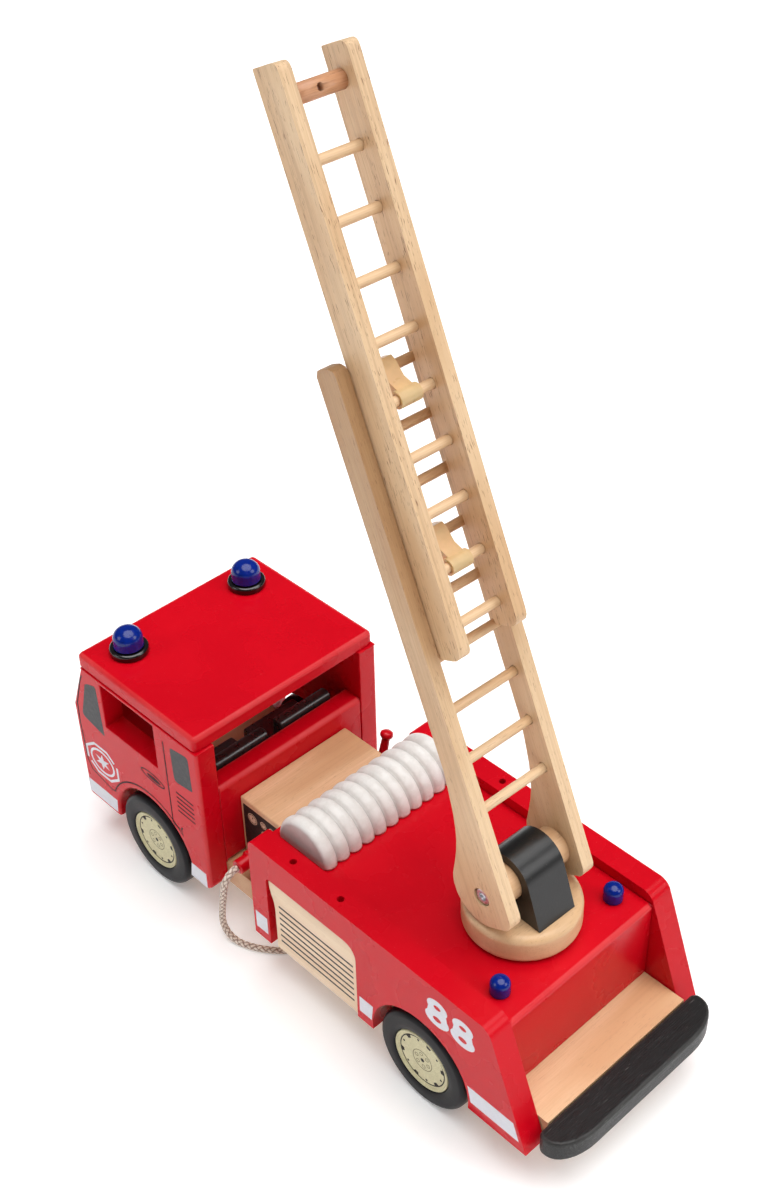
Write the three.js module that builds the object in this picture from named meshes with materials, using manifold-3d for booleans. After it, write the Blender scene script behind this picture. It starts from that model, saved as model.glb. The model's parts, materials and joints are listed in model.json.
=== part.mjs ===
// Wooden toy fire engine: a cab with open windows, a pump box with a rope hose, a deck with a
// hose roll, and a turntable that carries a two-part extending ladder.
//
// Millimetres. +Z is up and the cab points towards -Y. The left side of the vehicle is +X.
// The origin is on the floor, midway between the sides and between the nose and the bumper.
import * as THREE from 'three';
import { mergeVertices } from 'three/addons/utils/BufferGeometryUtils.js';
import Module from 'manifold-3d';

const wasm = await Module();
wasm.setup();

// ---------------------------------------------------------------- driving dimensions
const GAP = 0.3;                   // clearance between pieces that touch
const LENGTH = 451.4;              // nose to rear bumper
const FRONT_Y = -LENGTH / 2;
const REAR_Y = LENGTH / 2;

const WHEEL_R = 36;
const TYRE_WIDTH = 15;
const TYRE_OUTER_X = 79.4;         // outer face of the tyres
const HUB_R = 22.4;
const FRONT_AXLE_Y = -147;
const REAR_AXLE_Y = 114.5;
const AXLE_R = 4;
const AXLE_BORE_R = 4.6;
const ARCH_R = 41;

const CHASSIS_BOTTOM = 29.5;
const CHASSIS_TOP = 47.5;
const CHASSIS_HALF = 63.1;

const CAB_HALF = 78.8;             // outer faces of the cab's side boards
const CAB_INNER = 63.4;
const CAB_REAR_Y = -86.2;
const CAB_FLOOR_Z = CHASSIS_TOP + GAP;
const ROOF_HALF = 77.9;
const ROOF_FRONT_Y = -212.7;
const ROOF_REAR_Y = -88.2;
const ROOF_TOP = 167.2;
const ROOF_THICK = 10.6;
const ROOF_BOTTOM = ROOF_TOP - ROOF_THICK;
const NOSE_Z = 115.3;              // where the front turns back to the windscreen
const FRONT_BOARD_THICK = 14;
const REAR_WALL_TOP = 116;
const REAR_WALL_THICK = 16.7;
const WINDOW_REAR_Y = -131.3;
const WINDOW_FRONT_Y = -188.3;
const WINDOW_SILL = 116;
const WINDOW_HEAD = 153.4;

const SEAT_GAP_HALF = 5.5;
const SEAT_WIDTH = 46;
const SEAT_TOP = 118.8;
const SEAT_CUSHION_TOP = 88;

const BEACON_X = 51.5;
const BEACON_Y = -188.3;
const BEACON_BASE_R = 13.4;

const PUMP_HALF = 47.5;
const PUMP_TOP = 100;
const HOSE_PEG_Y = -62.5;
const HOSE_PEG_Z = 67.6;
const HOSE_PEG_R = 6.35;
const HOSE_PEG_END = 72.5;
const ROPE_R = 2.5;
const NOZZLE_LEAN = THREE.MathUtils.degToRad(15);
const NOZZLE_HEAD = [-65.8, HOSE_PEG_Y, 99.5];   // top of the parked nozzle's head
const NOZZLE_LENGTH = 49;
const ROPE_HOLE_X = -49.8;
const ROPE_HOLE_R = 6.5;

const BODY_HALF = 80;              // outer faces of the body's side boards
const BODY_INNER = 63.7;
const BODY_FRONT_Y = -38.7;
const BODY_BOTTOM = 31.3;
const BODY_TOP = 117;
const WALL_THICK = 12;
const DECK_TOP = 109.3;
const DECK_THICK = 12;
const DECK_BOTTOM = DECK_TOP - DECK_THICK;
const DECK_HALF = 63.4;
const DECK_REAR_Y = 172;
const PANEL_FRONT_Y = -23;         // cut-out for the locker panel in each side board
const PANEL_REAR_Y = 59.7;
const PANEL_TOP = 94;
const PANEL_OUTER_X = 78.5;
const PANEL_INNER_X = 69;
const PEG_HOLE_YS = [-3.9, 39.5];

const BODY_FRONT_ROUND = 4.5;      // rounding of the side boards' front top corners
const BUMPER_FRONT_Y = 203.2;
const BUMPER_BOTTOM = 32;
const BUMPER_HALF = 73;
const BUMPER_ROUND = [28, 16];     // rounding of its ends, across and along the vehicle

const ROLL_HALF = 58.7;
const ROLL_Y = -10.7;
const ROLL_R = 24;
const ROLL_RIDGES = 11;

const KNOB_X = 50.4;
const KNOB_Y = 151.5;
const KNOB_SHOULDER = 7;

const TURNTABLE_Y = 122.3;
const TURNTABLE_R = 36.8;
const TURNTABLE_BOTTOM = DECK_TOP + GAP;
const TURNTABLE_TOP = 130.3;
const TURNTABLE_YAW = THREE.MathUtils.degToRad(-1.66);
const PIVOT_Z = 153.7;
const PEDESTAL_HALF = 15;
const PEDESTAL_R = 19;
const PEDESTAL_FOOT = 28.3;
const DOWEL_R = 12.5;
const DOWEL_BORE_R = 12.9;

const LADDER_RAISE = THREE.MathUtils.degToRad(66.13);
const RUNG_PITCH = 31.75;
const RUNG_R = 3;
const RUNG_HOLE_R = 3.35;
const RUNG_HOLE_DEPTH = 4.2;
const RUNGS = 9;

const LOWER = { outer: 35.2, inner: 26.5, low: 2.9, high: 19.7, end: 322.5, rungN: 10.5, firstRung: 54.5 };
const UPPER = {
  outer: 25.8, inner: 17.7, low: 17.7, high: 37.9, start: 152.5, end: 472, rungN: 25.3, firstRung: 167.6,
};
const TOP_BAR = { u: 454.5, n: 26.5, r: 5.3, hole: 2.2 };
const CLIP_RUNGS = [1, 4];         // upper-ladder rungs that carry a plastic hook
const CLIP_HALF = 7.5;

// ---------------------------------------------------------------- materials
const COLOURS = {
  red: ['#d11524', 0.35, 0],
  beech: ['#e8cda5', 0.6, 0],
  amber: ['#e1b282', 0.6, 0],
  black: ['#2d2d2f', 0.45, 0],
  blackWood: ['#232324', 0.55, 0],
  blue: ['#14329a', 0.15, 0],
  rubber: ['#323237', 0.6, 0],
  cream: ['#cdc896', 0.55, 0],
  white: ['#eeeae6', 0.6, 0],
  plastic: ['#e3cf9c', 0.4, 0],
  steel: ['#c8c8cc', 0.25, 1],
  rope: ['#cdbfae', 0.9, 0],
};

function paint(name) {
  const [color, roughness, metalness] = COLOURS[name];
  return new THREE.MeshStandardMaterial({ color, roughness, metalness });
}

// ---------------------------------------------------------------- geometry helpers
const X = new THREE.Vector3(1, 0, 0);
const Y = new THREE.Vector3(0, 1, 0);
const Z = new THREE.Vector3(0, 0, 1);
const BACK = new THREE.Vector3(0, -1, 0);

function toSolid(geometry) {
  const bare = geometry.clone();
  bare.deleteAttribute('normal');
  bare.deleteAttribute('uv');
  const merged = mergeVertices(bare, 1e-4);
  const vertProperties = new Float32Array(merged.attributes.position.array);
  const triVerts = new Uint32Array(merged.index.array);
  return new wasm.Manifold(new wasm.Mesh({ numProp: 3, vertProperties, triVerts }));
}

function toGeometry(solid) {
  const mesh = solid.getMesh();
  const geometry = new THREE.BufferGeometry();
  geometry.setAttribute('position', new THREE.BufferAttribute(mesh.vertProperties, 3));
  geometry.setIndex(new THREE.BufferAttribute(mesh.triVerts, 1));
  return geometry;
}

function cut(geometry, tools) {
  return toGeometry(tools.reduce((solid, tool) => solid.subtract(toSolid(tool)), toSolid(geometry)));
}

function join(geometries) {
  return toGeometry(geometries.map(toSolid).reduce((all, solid) => all.add(solid)));
}

// A box given by its low and high limits along each axis.
function box([x0, x1], [y0, y1], [z0, z1]) {
  const geometry = new THREE.BoxGeometry(x1 - x0, y1 - y0, z1 - z0);
  return geometry.translate((x0 + x1) / 2, (y0 + y1) / 2, (z0 + z1) / 2);
}

// A flat outline drawn on two axes and thickened along the third, from `start` for `depth`.
function slab(shape, across, up, start, depth, curveSegments = 8) {
  const geometry = new THREE.ExtrudeGeometry(shape, { depth, bevelEnabled: false, curveSegments });
  const normal = new THREE.Vector3().crossVectors(across, up);
  geometry.applyMatrix4(new THREE.Matrix4().makeBasis(across, up, normal));
  return geometry.translate(...normal.multiplyScalar(start).toArray());
}

// A round bar along X, and one along Z.
function barX(radius, x0, x1, y, z, sides = 24) {
  const geometry = new THREE.CylinderGeometry(radius, radius, x1 - x0, sides);
  return geometry.rotateZ(-Math.PI / 2).translate((x0 + x1) / 2, y, z);
}

function barZ(radius, z0, z1, x, y, sides = 24) {
  const geometry = new THREE.CylinderGeometry(radius, radius, z1 - z0, sides);
  return geometry.rotateX(Math.PI / 2).translate(x, y, (z0 + z1) / 2);
}

// A turned piece: [radius, height] pairs from the bottom of the axis to its top.
function turned(profile, sides = 32) {
  return new THREE.LatheGeometry(profile.map(([r, h]) => new THREE.Vector2(r, h)), sides);
}

const turnedZ = (profile, sides) => turned(profile, sides).rotateX(Math.PI / 2);
const turnedX = (profile, sides) => turned(profile, sides).rotateZ(-Math.PI / 2);

// Points on an arc, angles in degrees.
function arc(cx, cy, r, from, to, steps) {
  return Array.from({ length: steps + 1 }, (_, i) => {
    const angle = THREE.MathUtils.degToRad(from + ((to - from) * i) / steps);
    return [cx + r * Math.cos(angle), cy + r * Math.sin(angle)];
  });
}

function outline(points) {
  return new THREE.Shape(points.map(([a, b]) => new THREE.Vector2(a, b)));
}

// An outline whose corners are rounded: each entry is [a, b, radius].
function roundedOutline(corners, steps = 4) {
  const points = [];
  corners.forEach(([a, b, radius = 0], i) => {
    const here = new THREE.Vector2(a, b);
    if (radius === 0) {
      points.push([a, b]);
      return;
    }
    const [pa, pb] = corners[(i + corners.length - 1) % corners.length];
    const [na, nb] = corners[(i + 1) % corners.length];
    const before = new THREE.Vector2(pa, pb).sub(here).normalize();
    const after = new THREE.Vector2(na, nb).sub(here).normalize();
    const half = before.angleTo(after) / 2;
    const reach = radius / Math.tan(half);
    const start = here.clone().addScaledVector(before, reach);
    const end = here.clone().addScaledVector(after, reach);
    const curve = new THREE.QuadraticBezierCurve(start, here, end);
    curve.getPoints(steps).forEach((p) => points.push([p.x, p.y]));
  });
  return outline(points);
}

const sides = { left: 1, right: -1 };

// A side board: its (y, z) outline thickened between two distances from the middle plane.
function sideBoard(shape, sign, inner, outer) {
  const start = sign > 0 ? inner : -outer;
  return slab(shape, Y, Z, start, outer - inner);
}

// ---------------------------------------------------------------- assembly
const engine = new THREE.Group();

function add(parent, name, geometry, colour) {
  const mesh = new THREE.Mesh(geometry, paint(colour));
  mesh.name = name;
  parent.add(mesh);
  return mesh;
}

// ---------------------------------------------------------------- chassis and wheels
function chassisBoard() {
  const front = FRONT_Y + FRONT_BOARD_THICK + 2 + GAP;
  const length = [front, BUMPER_FRONT_Y - GAP];
  const board = box([-CHASSIS_HALF, CHASSIS_HALF], length, [CHASSIS_BOTTOM, CHASSIS_TOP]);
  const bores = [FRONT_AXLE_Y, REAR_AXLE_Y].map((y) => barX(AXLE_BORE_R, -100, 100, y, WHEEL_R));
  const ropeHole = barZ(ROPE_HOLE_R, 0, 100, ROPE_HOLE_X, HOSE_PEG_Y);
  return cut(board, [...bores, ropeHole]);
}

// Tyre section: a ring with rounded shoulders, closed on itself.
function tyre() {
  const inner = HUB_R + GAP;
  const shoulder = 3.5;
  const profile = [
    [inner, 0],
    ...arc(WHEEL_R - shoulder, shoulder, shoulder, -90, 0, 3),
    ...arc(WHEEL_R - shoulder, TYRE_WIDTH - shoulder, shoulder, 0, 90, 3),
    [inner, TYRE_WIDTH],
    [inner, 0],
  ];
  return turnedX(profile, 40);
}

// Wheel disc: turned wood with a socket for the axle in its inner face and a shallow front rim.
function wheelDisc() {
  const socket = AXLE_R + GAP;
  return turnedX([
    [0, 10.8], [socket, 10.8], [socket, 0.8], [HUB_R, 0.8],
    [HUB_R, 13.2], [HUB_R - 1.6, 14.2], [HUB_R - 2.6, 13.4], [0, 13.4],
  ], 40);
}

function axleWithWheels(name, y) {
  const group = new THREE.Group();
  group.position.set(0, y, WHEEL_R);
  engine.add(group);
  const tyreInnerX = TYRE_OUTER_X - TYRE_WIDTH;
  add(group, `${name}_axle`, barX(AXLE_R, -74.8, 74.8, 0, 0), 'beech');
  for (const [side, sign] of Object.entries(sides)) {
    const pair = [
      [`${name}_tyre_${side}`, tyre(), 'rubber'],
      [`${name}_wheel_disc_${side}`, wheelDisc(), 'cream'],
    ];
    for (const [node, geometry, colour] of pair) {
      const mesh = add(group, node, geometry, colour);
      mesh.position.x = sign * tyreInnerX;
      mesh.rotation.y = sign > 0 ? 0 : Math.PI;
    }
  }
}

// ---------------------------------------------------------------- cab
function archPoints(axleY, bottom) {
  const drop = THREE.MathUtils.radToDeg(Math.asin((WHEEL_R - bottom) / ARCH_R));
  return arc(axleY, WHEEL_R, ARCH_R, 180 + drop, -drop, 18);
}

function cabSideShape() {
  const bottom = 29.7;
  const shape = outline([
    [FRONT_Y + 1.4, bottom + 2], [FRONT_Y + 3, bottom],
    ...archPoints(FRONT_AXLE_Y, bottom),
    [CAB_REAR_Y - 4, bottom], [CAB_REAR_Y, bottom + 4],
    [CAB_REAR_Y, ROOF_BOTTOM - GAP], [-209.8, ROOF_BOTTOM - GAP], [FRONT_Y, NOSE_Z],
  ]);
  const corners = [[WINDOW_FRONT_Y, WINDOW_SILL], [WINDOW_REAR_Y, WINDOW_SILL],
    [WINDOW_REAR_Y, WINDOW_HEAD], [WINDOW_FRONT_Y, WINDOW_HEAD]];
  shape.holes.push(new THREE.Path(corners.map(([y, z]) => new THREE.Vector2(y, z))));
  return shape;
}

function cabFront() {
  const slope = 1.4;
  const shape = outline([
    [FRONT_Y, NOSE_Z], [FRONT_Y + slope, CHASSIS_BOTTOM],
    [FRONT_Y + slope + FRONT_BOARD_THICK, CHASSIS_BOTTOM], [FRONT_Y + FRONT_BOARD_THICK, NOSE_Z],
  ]);
  return slab(shape, Y, Z, -CHASSIS_HALF, 2 * CHASSIS_HALF);
}

// One seat: an upright back with a rounded top, and a cushion in front of it.
function seat(x0) {
  const back = CAB_REAR_Y - REAR_WALL_THICK - 2 * GAP;
  const backThick = 9.5;
  const front = back - 44;
  const shape = roundedOutline([
    [back, CAB_FLOOR_Z], [back, SEAT_TOP, 3.5], [back - backThick, SEAT_TOP, 3.5],
    [back - backThick - 2, SEAT_CUSHION_TOP], [front, SEAT_CUSHION_TOP - 1, 4], [front, CAB_FLOOR_Z],
  ], 3);
  return slab(shape, Y, Z, x0, SEAT_WIDTH);
}

function cab() {
  for (const [side, sign] of Object.entries(sides)) {
    add(engine, `cab_side_${side}`, sideBoard(cabSideShape(), sign, CAB_INNER, CAB_HALF), 'red');
    const seatStart = sign > 0 ? SEAT_GAP_HALF : -SEAT_GAP_HALF - SEAT_WIDTH;
    add(engine, `seat_${side}`, seat(seatStart), 'black');
  }
  const roofPlan = roundedOutline([
    [-ROOF_HALF, ROOF_FRONT_Y, 4], [ROOF_HALF, ROOF_FRONT_Y, 4],
    [ROOF_HALF, ROOF_REAR_Y, 4], [-ROOF_HALF, ROOF_REAR_Y, 4],
  ]);
  add(engine, 'cab_roof', slab(roofPlan, X, Y, ROOF_BOTTOM, ROOF_THICK), 'red');
  add(engine, 'cab_front', cabFront(), 'red');
  const wallRear = CAB_REAR_Y - GAP;
  const rearWall = box([-CHASSIS_HALF, CHASSIS_HALF], [wallRear - REAR_WALL_THICK, wallRear],
    [CAB_FLOOR_Z, REAR_WALL_TOP]);
  add(engine, 'cab_rear_wall', rearWall, 'red');
}

function beacons() {
  const baseBottom = ROOF_TOP + GAP;
  const domeBottom = baseBottom + 5.6;
  for (const [side, sign] of Object.entries(sides)) {
    const base = turnedZ([
      [0, 0], [BEACON_BASE_R, 0], [BEACON_BASE_R, 4.4], [BEACON_BASE_R - 1.2, 5.3], [0, 5.3],
    ]);
    const dome = turnedZ([[0, 0], [11.4, 0], [10.6, 2.4], [10.3, 6], ...arc(0, 6.3, 10.2, 8, 82, 5).map(
      ([r, h]) => [r, 6.3 + (h - 6.3) * 0.75]), [0, 14]]);
    add(engine, `beacon_base_${side}`, base, 'black').position.set(sign * BEACON_X, BEACON_Y, baseBottom);
    add(engine, `beacon_dome_${side}`, dome, 'blue').position.set(sign * BEACON_X, BEACON_Y, domeBottom);
  }
}

// ---------------------------------------------------------------- pump box and rope hose
// Hose peg: a thick turned peg with a narrower rounded nose, lying along X.
function hosePeg() {
  const length = HOSE_PEG_END - PUMP_HALF - GAP;
  return turnedX([
    [0, 0], [HOSE_PEG_R, 0], [HOSE_PEG_R, length - 10], [HOSE_PEG_R - 1, length - 8.6],
    [5.1, length - 8], [5.1, length - 1.6], [3.8, length], [0, length],
  ], 24);
}

// Nozzle: a turned handle with a mushroom head and a bead that rests on the peg, head end up.
function nozzle() {
  return turnedZ([
    [0, -NOZZLE_LENGTH], [3.1, -NOZZLE_LENGTH], [3.2, -29], [3.2, -24.6], [4.7, -23.6], [4.7, -21.8],
    [3.3, -20.6], [2.8, -5.4], [4.1, -4.6], [4.7, -3.2], [4.4, -1.4], [3, -0.3], [0, 0],
  ], 20);
}

const ROPE_ROUTE = [
  [72.8, -62.5, 67.6], [76.2, -62.5, 67.4], [79.8, -62.5, 65.7], [82.6, -62.8, 62.2],
  [83.9, -63.5, 57.2], [84.2, -65, 49], [83.9, -67.2, 39.5], [83.4, -69.4, 30],
  [82.9, -70.9, 21], [82.4, -71, 13.6], [81.6, -68.3, 7.1], [80.5, -63.2, 3.5],
  [79.1, -57.4, 2.6], [76.4, -50.6, 2.6], [72.4, -43.6, 2.6], [67.4, -36.8, 2.6],
  [61.2, -30.6, 2.6], [52.6, -25.2, 2.6], [41.6, -21.8, 2.6], [28.6, -21, 2.6],
  [14.6, -22.8, 2.6], [0.8, -27.4, 2.6], [-12, -34.2, 2.6], [-23.4, -42.4, 2.8],
  [-32.6, -50.4, 4.4], [-39.2, -56.8, 9], [-43.4, -60.6, 16.4], [-46, -62.1, 25.4],
  [-48.4, -62.5, 34.6], [-50.8, -62.5, 43.4], [-53, -62.5, 51.6],
];

function ropeHose() {
  const route = new THREE.CatmullRomCurve3(ROPE_ROUTE.map((p) => new THREE.Vector3(...p)));
  const section = outline(arc(0, 0, ROPE_R, 0, 315, 7));
  return new THREE.ExtrudeGeometry(section, { steps: 56, extrudePath: route, bevelEnabled: false });
}

function pump() {
  add(engine, 'pump_box',
    box([-PUMP_HALF, PUMP_HALF], [CAB_REAR_Y + GAP, BODY_FRONT_Y - GAP], [CAB_FLOOR_Z, PUMP_TOP]), 'amber');
  const outlet = add(engine, 'hose_outlet', hosePeg(), 'red');
  outlet.position.set(PUMP_HALF + GAP, HOSE_PEG_Y, HOSE_PEG_Z);

  // The far peg is drilled across for the nozzle, which parks in it leaning outwards.
  const parked = new THREE.Matrix4().makeTranslation(...NOZZLE_HEAD)
    .multiply(new THREE.Matrix4().makeRotationY(-NOZZLE_LEAN));
  const drill = barZ(3.7, -60, 20, 0, 0, 20).applyMatrix4(parked);
  const farPeg = hosePeg().rotateZ(Math.PI).translate(-PUMP_HALF - GAP, HOSE_PEG_Y, HOSE_PEG_Z);
  add(engine, 'hose_rest', cut(farPeg, [drill]), 'red');
  add(engine, 'hose_nozzle', nozzle().applyMatrix4(parked), 'red');
  add(engine, 'rope_hose', ropeHose(), 'rope');
}

// ---------------------------------------------------------------- body
function bodySideShape() {
  return outline([
    [BODY_FRONT_Y, BODY_BOTTOM], [PANEL_FRONT_Y, BODY_BOTTOM],
    ...arc(PANEL_FRONT_Y + 3, PANEL_TOP - 3, 3, 180, 90, 3),
    ...arc(PANEL_REAR_Y - 10, PANEL_TOP - 10, 10, 90, 0, 5),
    [PANEL_REAR_Y, BODY_BOTTOM],
    ...archPoints(REAR_AXLE_Y, BODY_BOTTOM),
    [201.7, BODY_BOTTOM], [175.4, 102.6], ...arc(163.4, 107.5, 9.5, 12, 84, 5),
    ...arc(BODY_FRONT_Y + BODY_FRONT_ROUND, BODY_TOP - BODY_FRONT_ROUND, BODY_FRONT_ROUND, 90, 180, 4),
  ]);
}

function bodySide(sign) {
  const board = sideBoard(bodySideShape(), sign, BODY_INNER, BODY_HALF);
  const middle = (sign * (BODY_INNER + BODY_HALF)) / 2;
  const holes = PEG_HOLE_YS.map((y) => barZ(2.4, BODY_TOP - 12, BODY_TOP + 5, middle, y, 16));
  return cut(board, holes);
}

// Locker panel: stands slightly back in its cut-out, clear of the front leg below its shoulder.
function lockerPanelShape() {
  const front = PANEL_FRONT_Y + GAP;
  const rear = PANEL_REAR_Y - GAP;
  const top = PANEL_TOP - GAP;
  return outline([
    [front + 4.6, BODY_BOTTOM], [rear, BODY_BOTTOM],
    ...arc(rear - 10, top - 10, 10, 0, 90, 5),
    ...arc(front + 4, top - 4, 4, 90, 180, 3),
    [front + 0.5, top - 9], [front + 2, top - 15], [front + 3.8, top - 20], [front + 4.6, top - 26],
  ]);
}

function body() {
  for (const [side, sign] of Object.entries(sides)) {
    add(engine, `body_side_${side}`, bodySide(sign), 'red');
    const panel = sideBoard(lockerPanelShape(), sign, PANEL_INNER_X, PANEL_OUTER_X);
    add(engine, `locker_panel_${side}`, panel, 'beech');
  }
  const across = [-DECK_HALF, DECK_HALF];
  const wallHeights = [CAB_FLOOR_Z, DECK_BOTTOM - GAP];
  add(engine, 'deck', cut(box(across, [BODY_FRONT_Y, DECK_REAR_Y], [DECK_BOTTOM, DECK_TOP]),
    [barZ(5.5, 0, 200, 0, TURNTABLE_Y)]), 'red');
  add(engine, 'body_front_wall', box(across, [BODY_FRONT_Y, BODY_FRONT_Y + WALL_THICK], wallHeights), 'red');
  add(engine, 'body_rear_wall', box(across, [DECK_REAR_Y - WALL_THICK, DECK_REAR_Y], wallHeights), 'red');
}

// Bumper: straight against the body and along the back, with widely rounded ends.
function bumper() {
  const [roundX, roundY] = BUMPER_ROUND;
  const end = arc(0, 0, 1, 0, 90, 8).map(([across, back]) => (
    [BUMPER_HALF - roundX * (1 - across), REAR_Y - roundY * (1 - back)]));
  const left = [[BUMPER_HALF - 3, BUMPER_FRONT_Y], [BUMPER_HALF, BUMPER_FRONT_Y + 3], ...end];
  const right = left.map(([x, y]) => [-x, y]).reverse();
  return slab(outline([...left, ...right]), X, Y, BUMPER_BOTTOM, CHASSIS_TOP - BUMPER_BOTTOM);
}

// Hose roll: a ribbed roll along X, cut flat where it lies on the deck.
function hoseRoll() {
  const pitch = (2 * ROLL_HALF) / ROLL_RIDGES;
  const depth = 3.2;
  const profile = [[0, -ROLL_HALF]];
  for (let ridge = 0; ridge < ROLL_RIDGES; ridge += 1) {
    const start = -ROLL_HALF + ridge * pitch;
    for (let step = 0; step < 5; step += 1) {
      const share = (step + 0.5) / 5;
      profile.push([ROLL_R - depth + depth * Math.sin(Math.PI * share), start + share * pitch]);
    }
  }
  profile.push([ROLL_R - depth, ROLL_HALF], [0, ROLL_HALF]);
  profile.splice(1, 0, [ROLL_R - depth, -ROLL_HALF]);
  const roll = turnedX(profile, 28);
  return cut(roll, [box([-100, 100], [-100, 100], [-100, 0])]);
}

function deckPieces() {
  add(engine, 'rear_bumper', bumper(), 'blackWood');
  add(engine, 'hose_roll', hoseRoll(), 'white').position.set(0, ROLL_Y, DECK_TOP + GAP);
  for (const [side, sign] of Object.entries(sides)) {
    const crown = arc(0, 0, 6.3, 15, 75, 4).map(([r, h]) => [r, KNOB_SHOULDER + h * 0.8]);
    const knob = turnedZ([[0, 0], [6.3, 0], [6.3, KNOB_SHOULDER], ...crown, [0, 12.2]], 24);
    add(engine, `deck_knob_${side}`, knob, 'blue').position.set(sign * KNOB_X, KNOB_Y, DECK_TOP + GAP);
  }
}

// ---------------------------------------------------------------- turntable
function turntableDisc() {
  const edge = 5;
  const height = TURNTABLE_TOP - TURNTABLE_BOTTOM;
  const disc = turnedZ([
    [0, 0], ...arc(TURNTABLE_R - edge, edge, edge, -90, 0, 4),
    ...arc(TURNTABLE_R - edge, height - edge, edge, 0, 90, 4), [0, height],
  ], 48).translate(0, 0, TURNTABLE_BOTTOM);
  return cut(disc, [barZ(5.3, 0, 121.3, 0, 0)]);
}

// Pedestal: sloping faces, a round top about the ladder's pivot, and the bore for the dowel.
function pedestal() {
  const foot = TURNTABLE_TOP + GAP - PIVOT_Z;
  const lean = Math.asin(PEDESTAL_R / Math.hypot(PEDESTAL_FOOT, foot));
  const towards = Math.atan2(-foot, PEDESTAL_FOOT);
  const tangent = 90 - THREE.MathUtils.radToDeg(towards + lean);
  const shape = outline([
    [-PEDESTAL_FOOT, foot], [PEDESTAL_FOOT, foot], ...arc(0, 0, PEDESTAL_R, tangent, 180 - tangent, 14),
  ]);
  const block = slab(shape, Y, Z, -PEDESTAL_HALF, 2 * PEDESTAL_HALF);
  return cut(block, [barX(DOWEL_BORE_R, -50, 50, 0, 0, 32)]);
}

// Pin: a headed peg glued into the disc and turning in the deck, its head under the deck.
function turntablePin() {
  const neck = DECK_BOTTOM - GAP;
  return turnedZ([[0, 91], [10, 91], [10, neck], [5, neck], [5, 121], [0, 121]], 24);
}

// ---------------------------------------------------------------- ladders
// Ladder coordinates: u runs along the ladder from its pivot, n stands off its plane, and both
// are drawn lying flat towards the cab, so u is -Y and n is +Z.
function railBoard(shape, sign, inner, outer) {
  const start = sign > 0 ? -outer : inner;
  return slab(shape, BACK, Z, start, outer - inner);
}

const acrossLadder = (radius, half, u, n, facets = 16) => barX(radius, -half, half, -u, n, facets);

function rungPlaces({ firstRung, rungN }) {
  return Array.from({ length: RUNGS }, (_, i) => [firstRung + i * RUNG_PITCH, rungN]);
}

// Lower rail: straight, swelling below into a round foot about the pivot.
function lowerRailShape() {
  const { low, high, end } = LOWER;
  const underside = [[5, -22.5], [12, -20.3], [23, -13.6], [37, -6.6], [56, -1.2], [84, low]];
  const swell = new THREE.SplineCurve(underside.map(([u, n]) => new THREE.Vector2(u, n)));
  return outline([
    [end - 4, low], [end - 0.8, low + 2.2], [end, low + 5],
    [end, high - 5], [end - 1.6, high - 1.4], [end - 5, high],
    ...arc(-11.4, high - 8.4, 8.4, 90, 160, 5),
    ...arc(1.2, -1, 21.9, 170, 262, 10),
    ...swell.getPoints(10).map(({ x, y }) => [x, y]),
  ]);
}

function lowerRail(sign) {
  const { inner, outer } = LOWER;
  const board = railBoard(lowerRailShape(), sign, inner, outer);
  const blind = rungPlaces(LOWER).map(([u, n]) => acrossLadder(RUNG_HOLE_R, inner + RUNG_HOLE_DEPTH, u, n));
  const seatX = outer - 3.6;
  const boltSeat = sign > 0 ? barX(6.2, seatX, outer + 5, 0, 0) : barX(6.2, -outer - 5, -seatX, 0, 0);
  return cut(board, [...blind, barX(2.9, -50, 50, 0, 0, 16), boltSeat]);
}

// Bolt: a round head sunk in the rail's face and a shank into the end of the dowel.
function pivotBolt() {
  const head = LOWER.outer - 3.3;
  return turnedX([
    [0, 14], [2.5, 14], [2.5, head], [5.6, head], [5.6, head + 1.6], [4.4, head + 2.4], [0, head + 2.4],
  ], 24);
}

function upperRailShape() {
  const { low, high, start, end } = UPPER;
  return roundedOutline([
    [start, low, 3], [end, low, 1.2], [end, high, 5], [start, high, 8],
  ], 4);
}

function upperRailWithRungs() {
  const { inner, outer } = UPPER;
  const rungs = rungPlaces(UPPER).map(([u, n]) => barX(RUNG_R, -inner - 3.7, inner + 2, -u, n, 16));
  return join([railBoard(upperRailShape(), 1, inner, outer), ...rungs]);
}

function upperRail() {
  const { inner, outer } = UPPER;
  const holes = rungPlaces(UPPER).map(([u, n]) => acrossLadder(RUNG_HOLE_R, inner + RUNG_HOLE_DEPTH, u, n));
  return cut(railBoard(upperRailShape(), -1, inner, outer), holes);
}

// Hook: a sleeve round a rung of the upper ladder, with an arm whose tip drops over a rung of
// the lower one. Drawn about the sleeve's own axis.
function ladderHook() {
  const arm = outline([
    [-3.4, -3.2], [8.6, -11.2], [17.2, -11.2], [17.2, -17.2], [19.2, -17.8], [20.4, -16.6],
    [21, -9.8], [17.6, -7.4], [9.4, -4.4], [2.6, 3.8],
  ]);
  const plate = slab(arm, BACK, Z, -CLIP_HALF + 2, 2 * CLIP_HALF - 4);
  const sleeve = barX(5, -CLIP_HALF, CLIP_HALF, 0, 0);
  return cut(join([plate, sleeve]), [barX(RUNG_HOLE_R, -20, 20, 0, 0, 16)]);
}

function topBar() {
  const bar = acrossLadder(TOP_BAR.r, UPPER.inner - GAP, TOP_BAR.u, TOP_BAR.n, 20);
  return cut(bar, [barZ(TOP_BAR.hole, 0, 60, 0, -TOP_BAR.u, 12)]);
}

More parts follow.
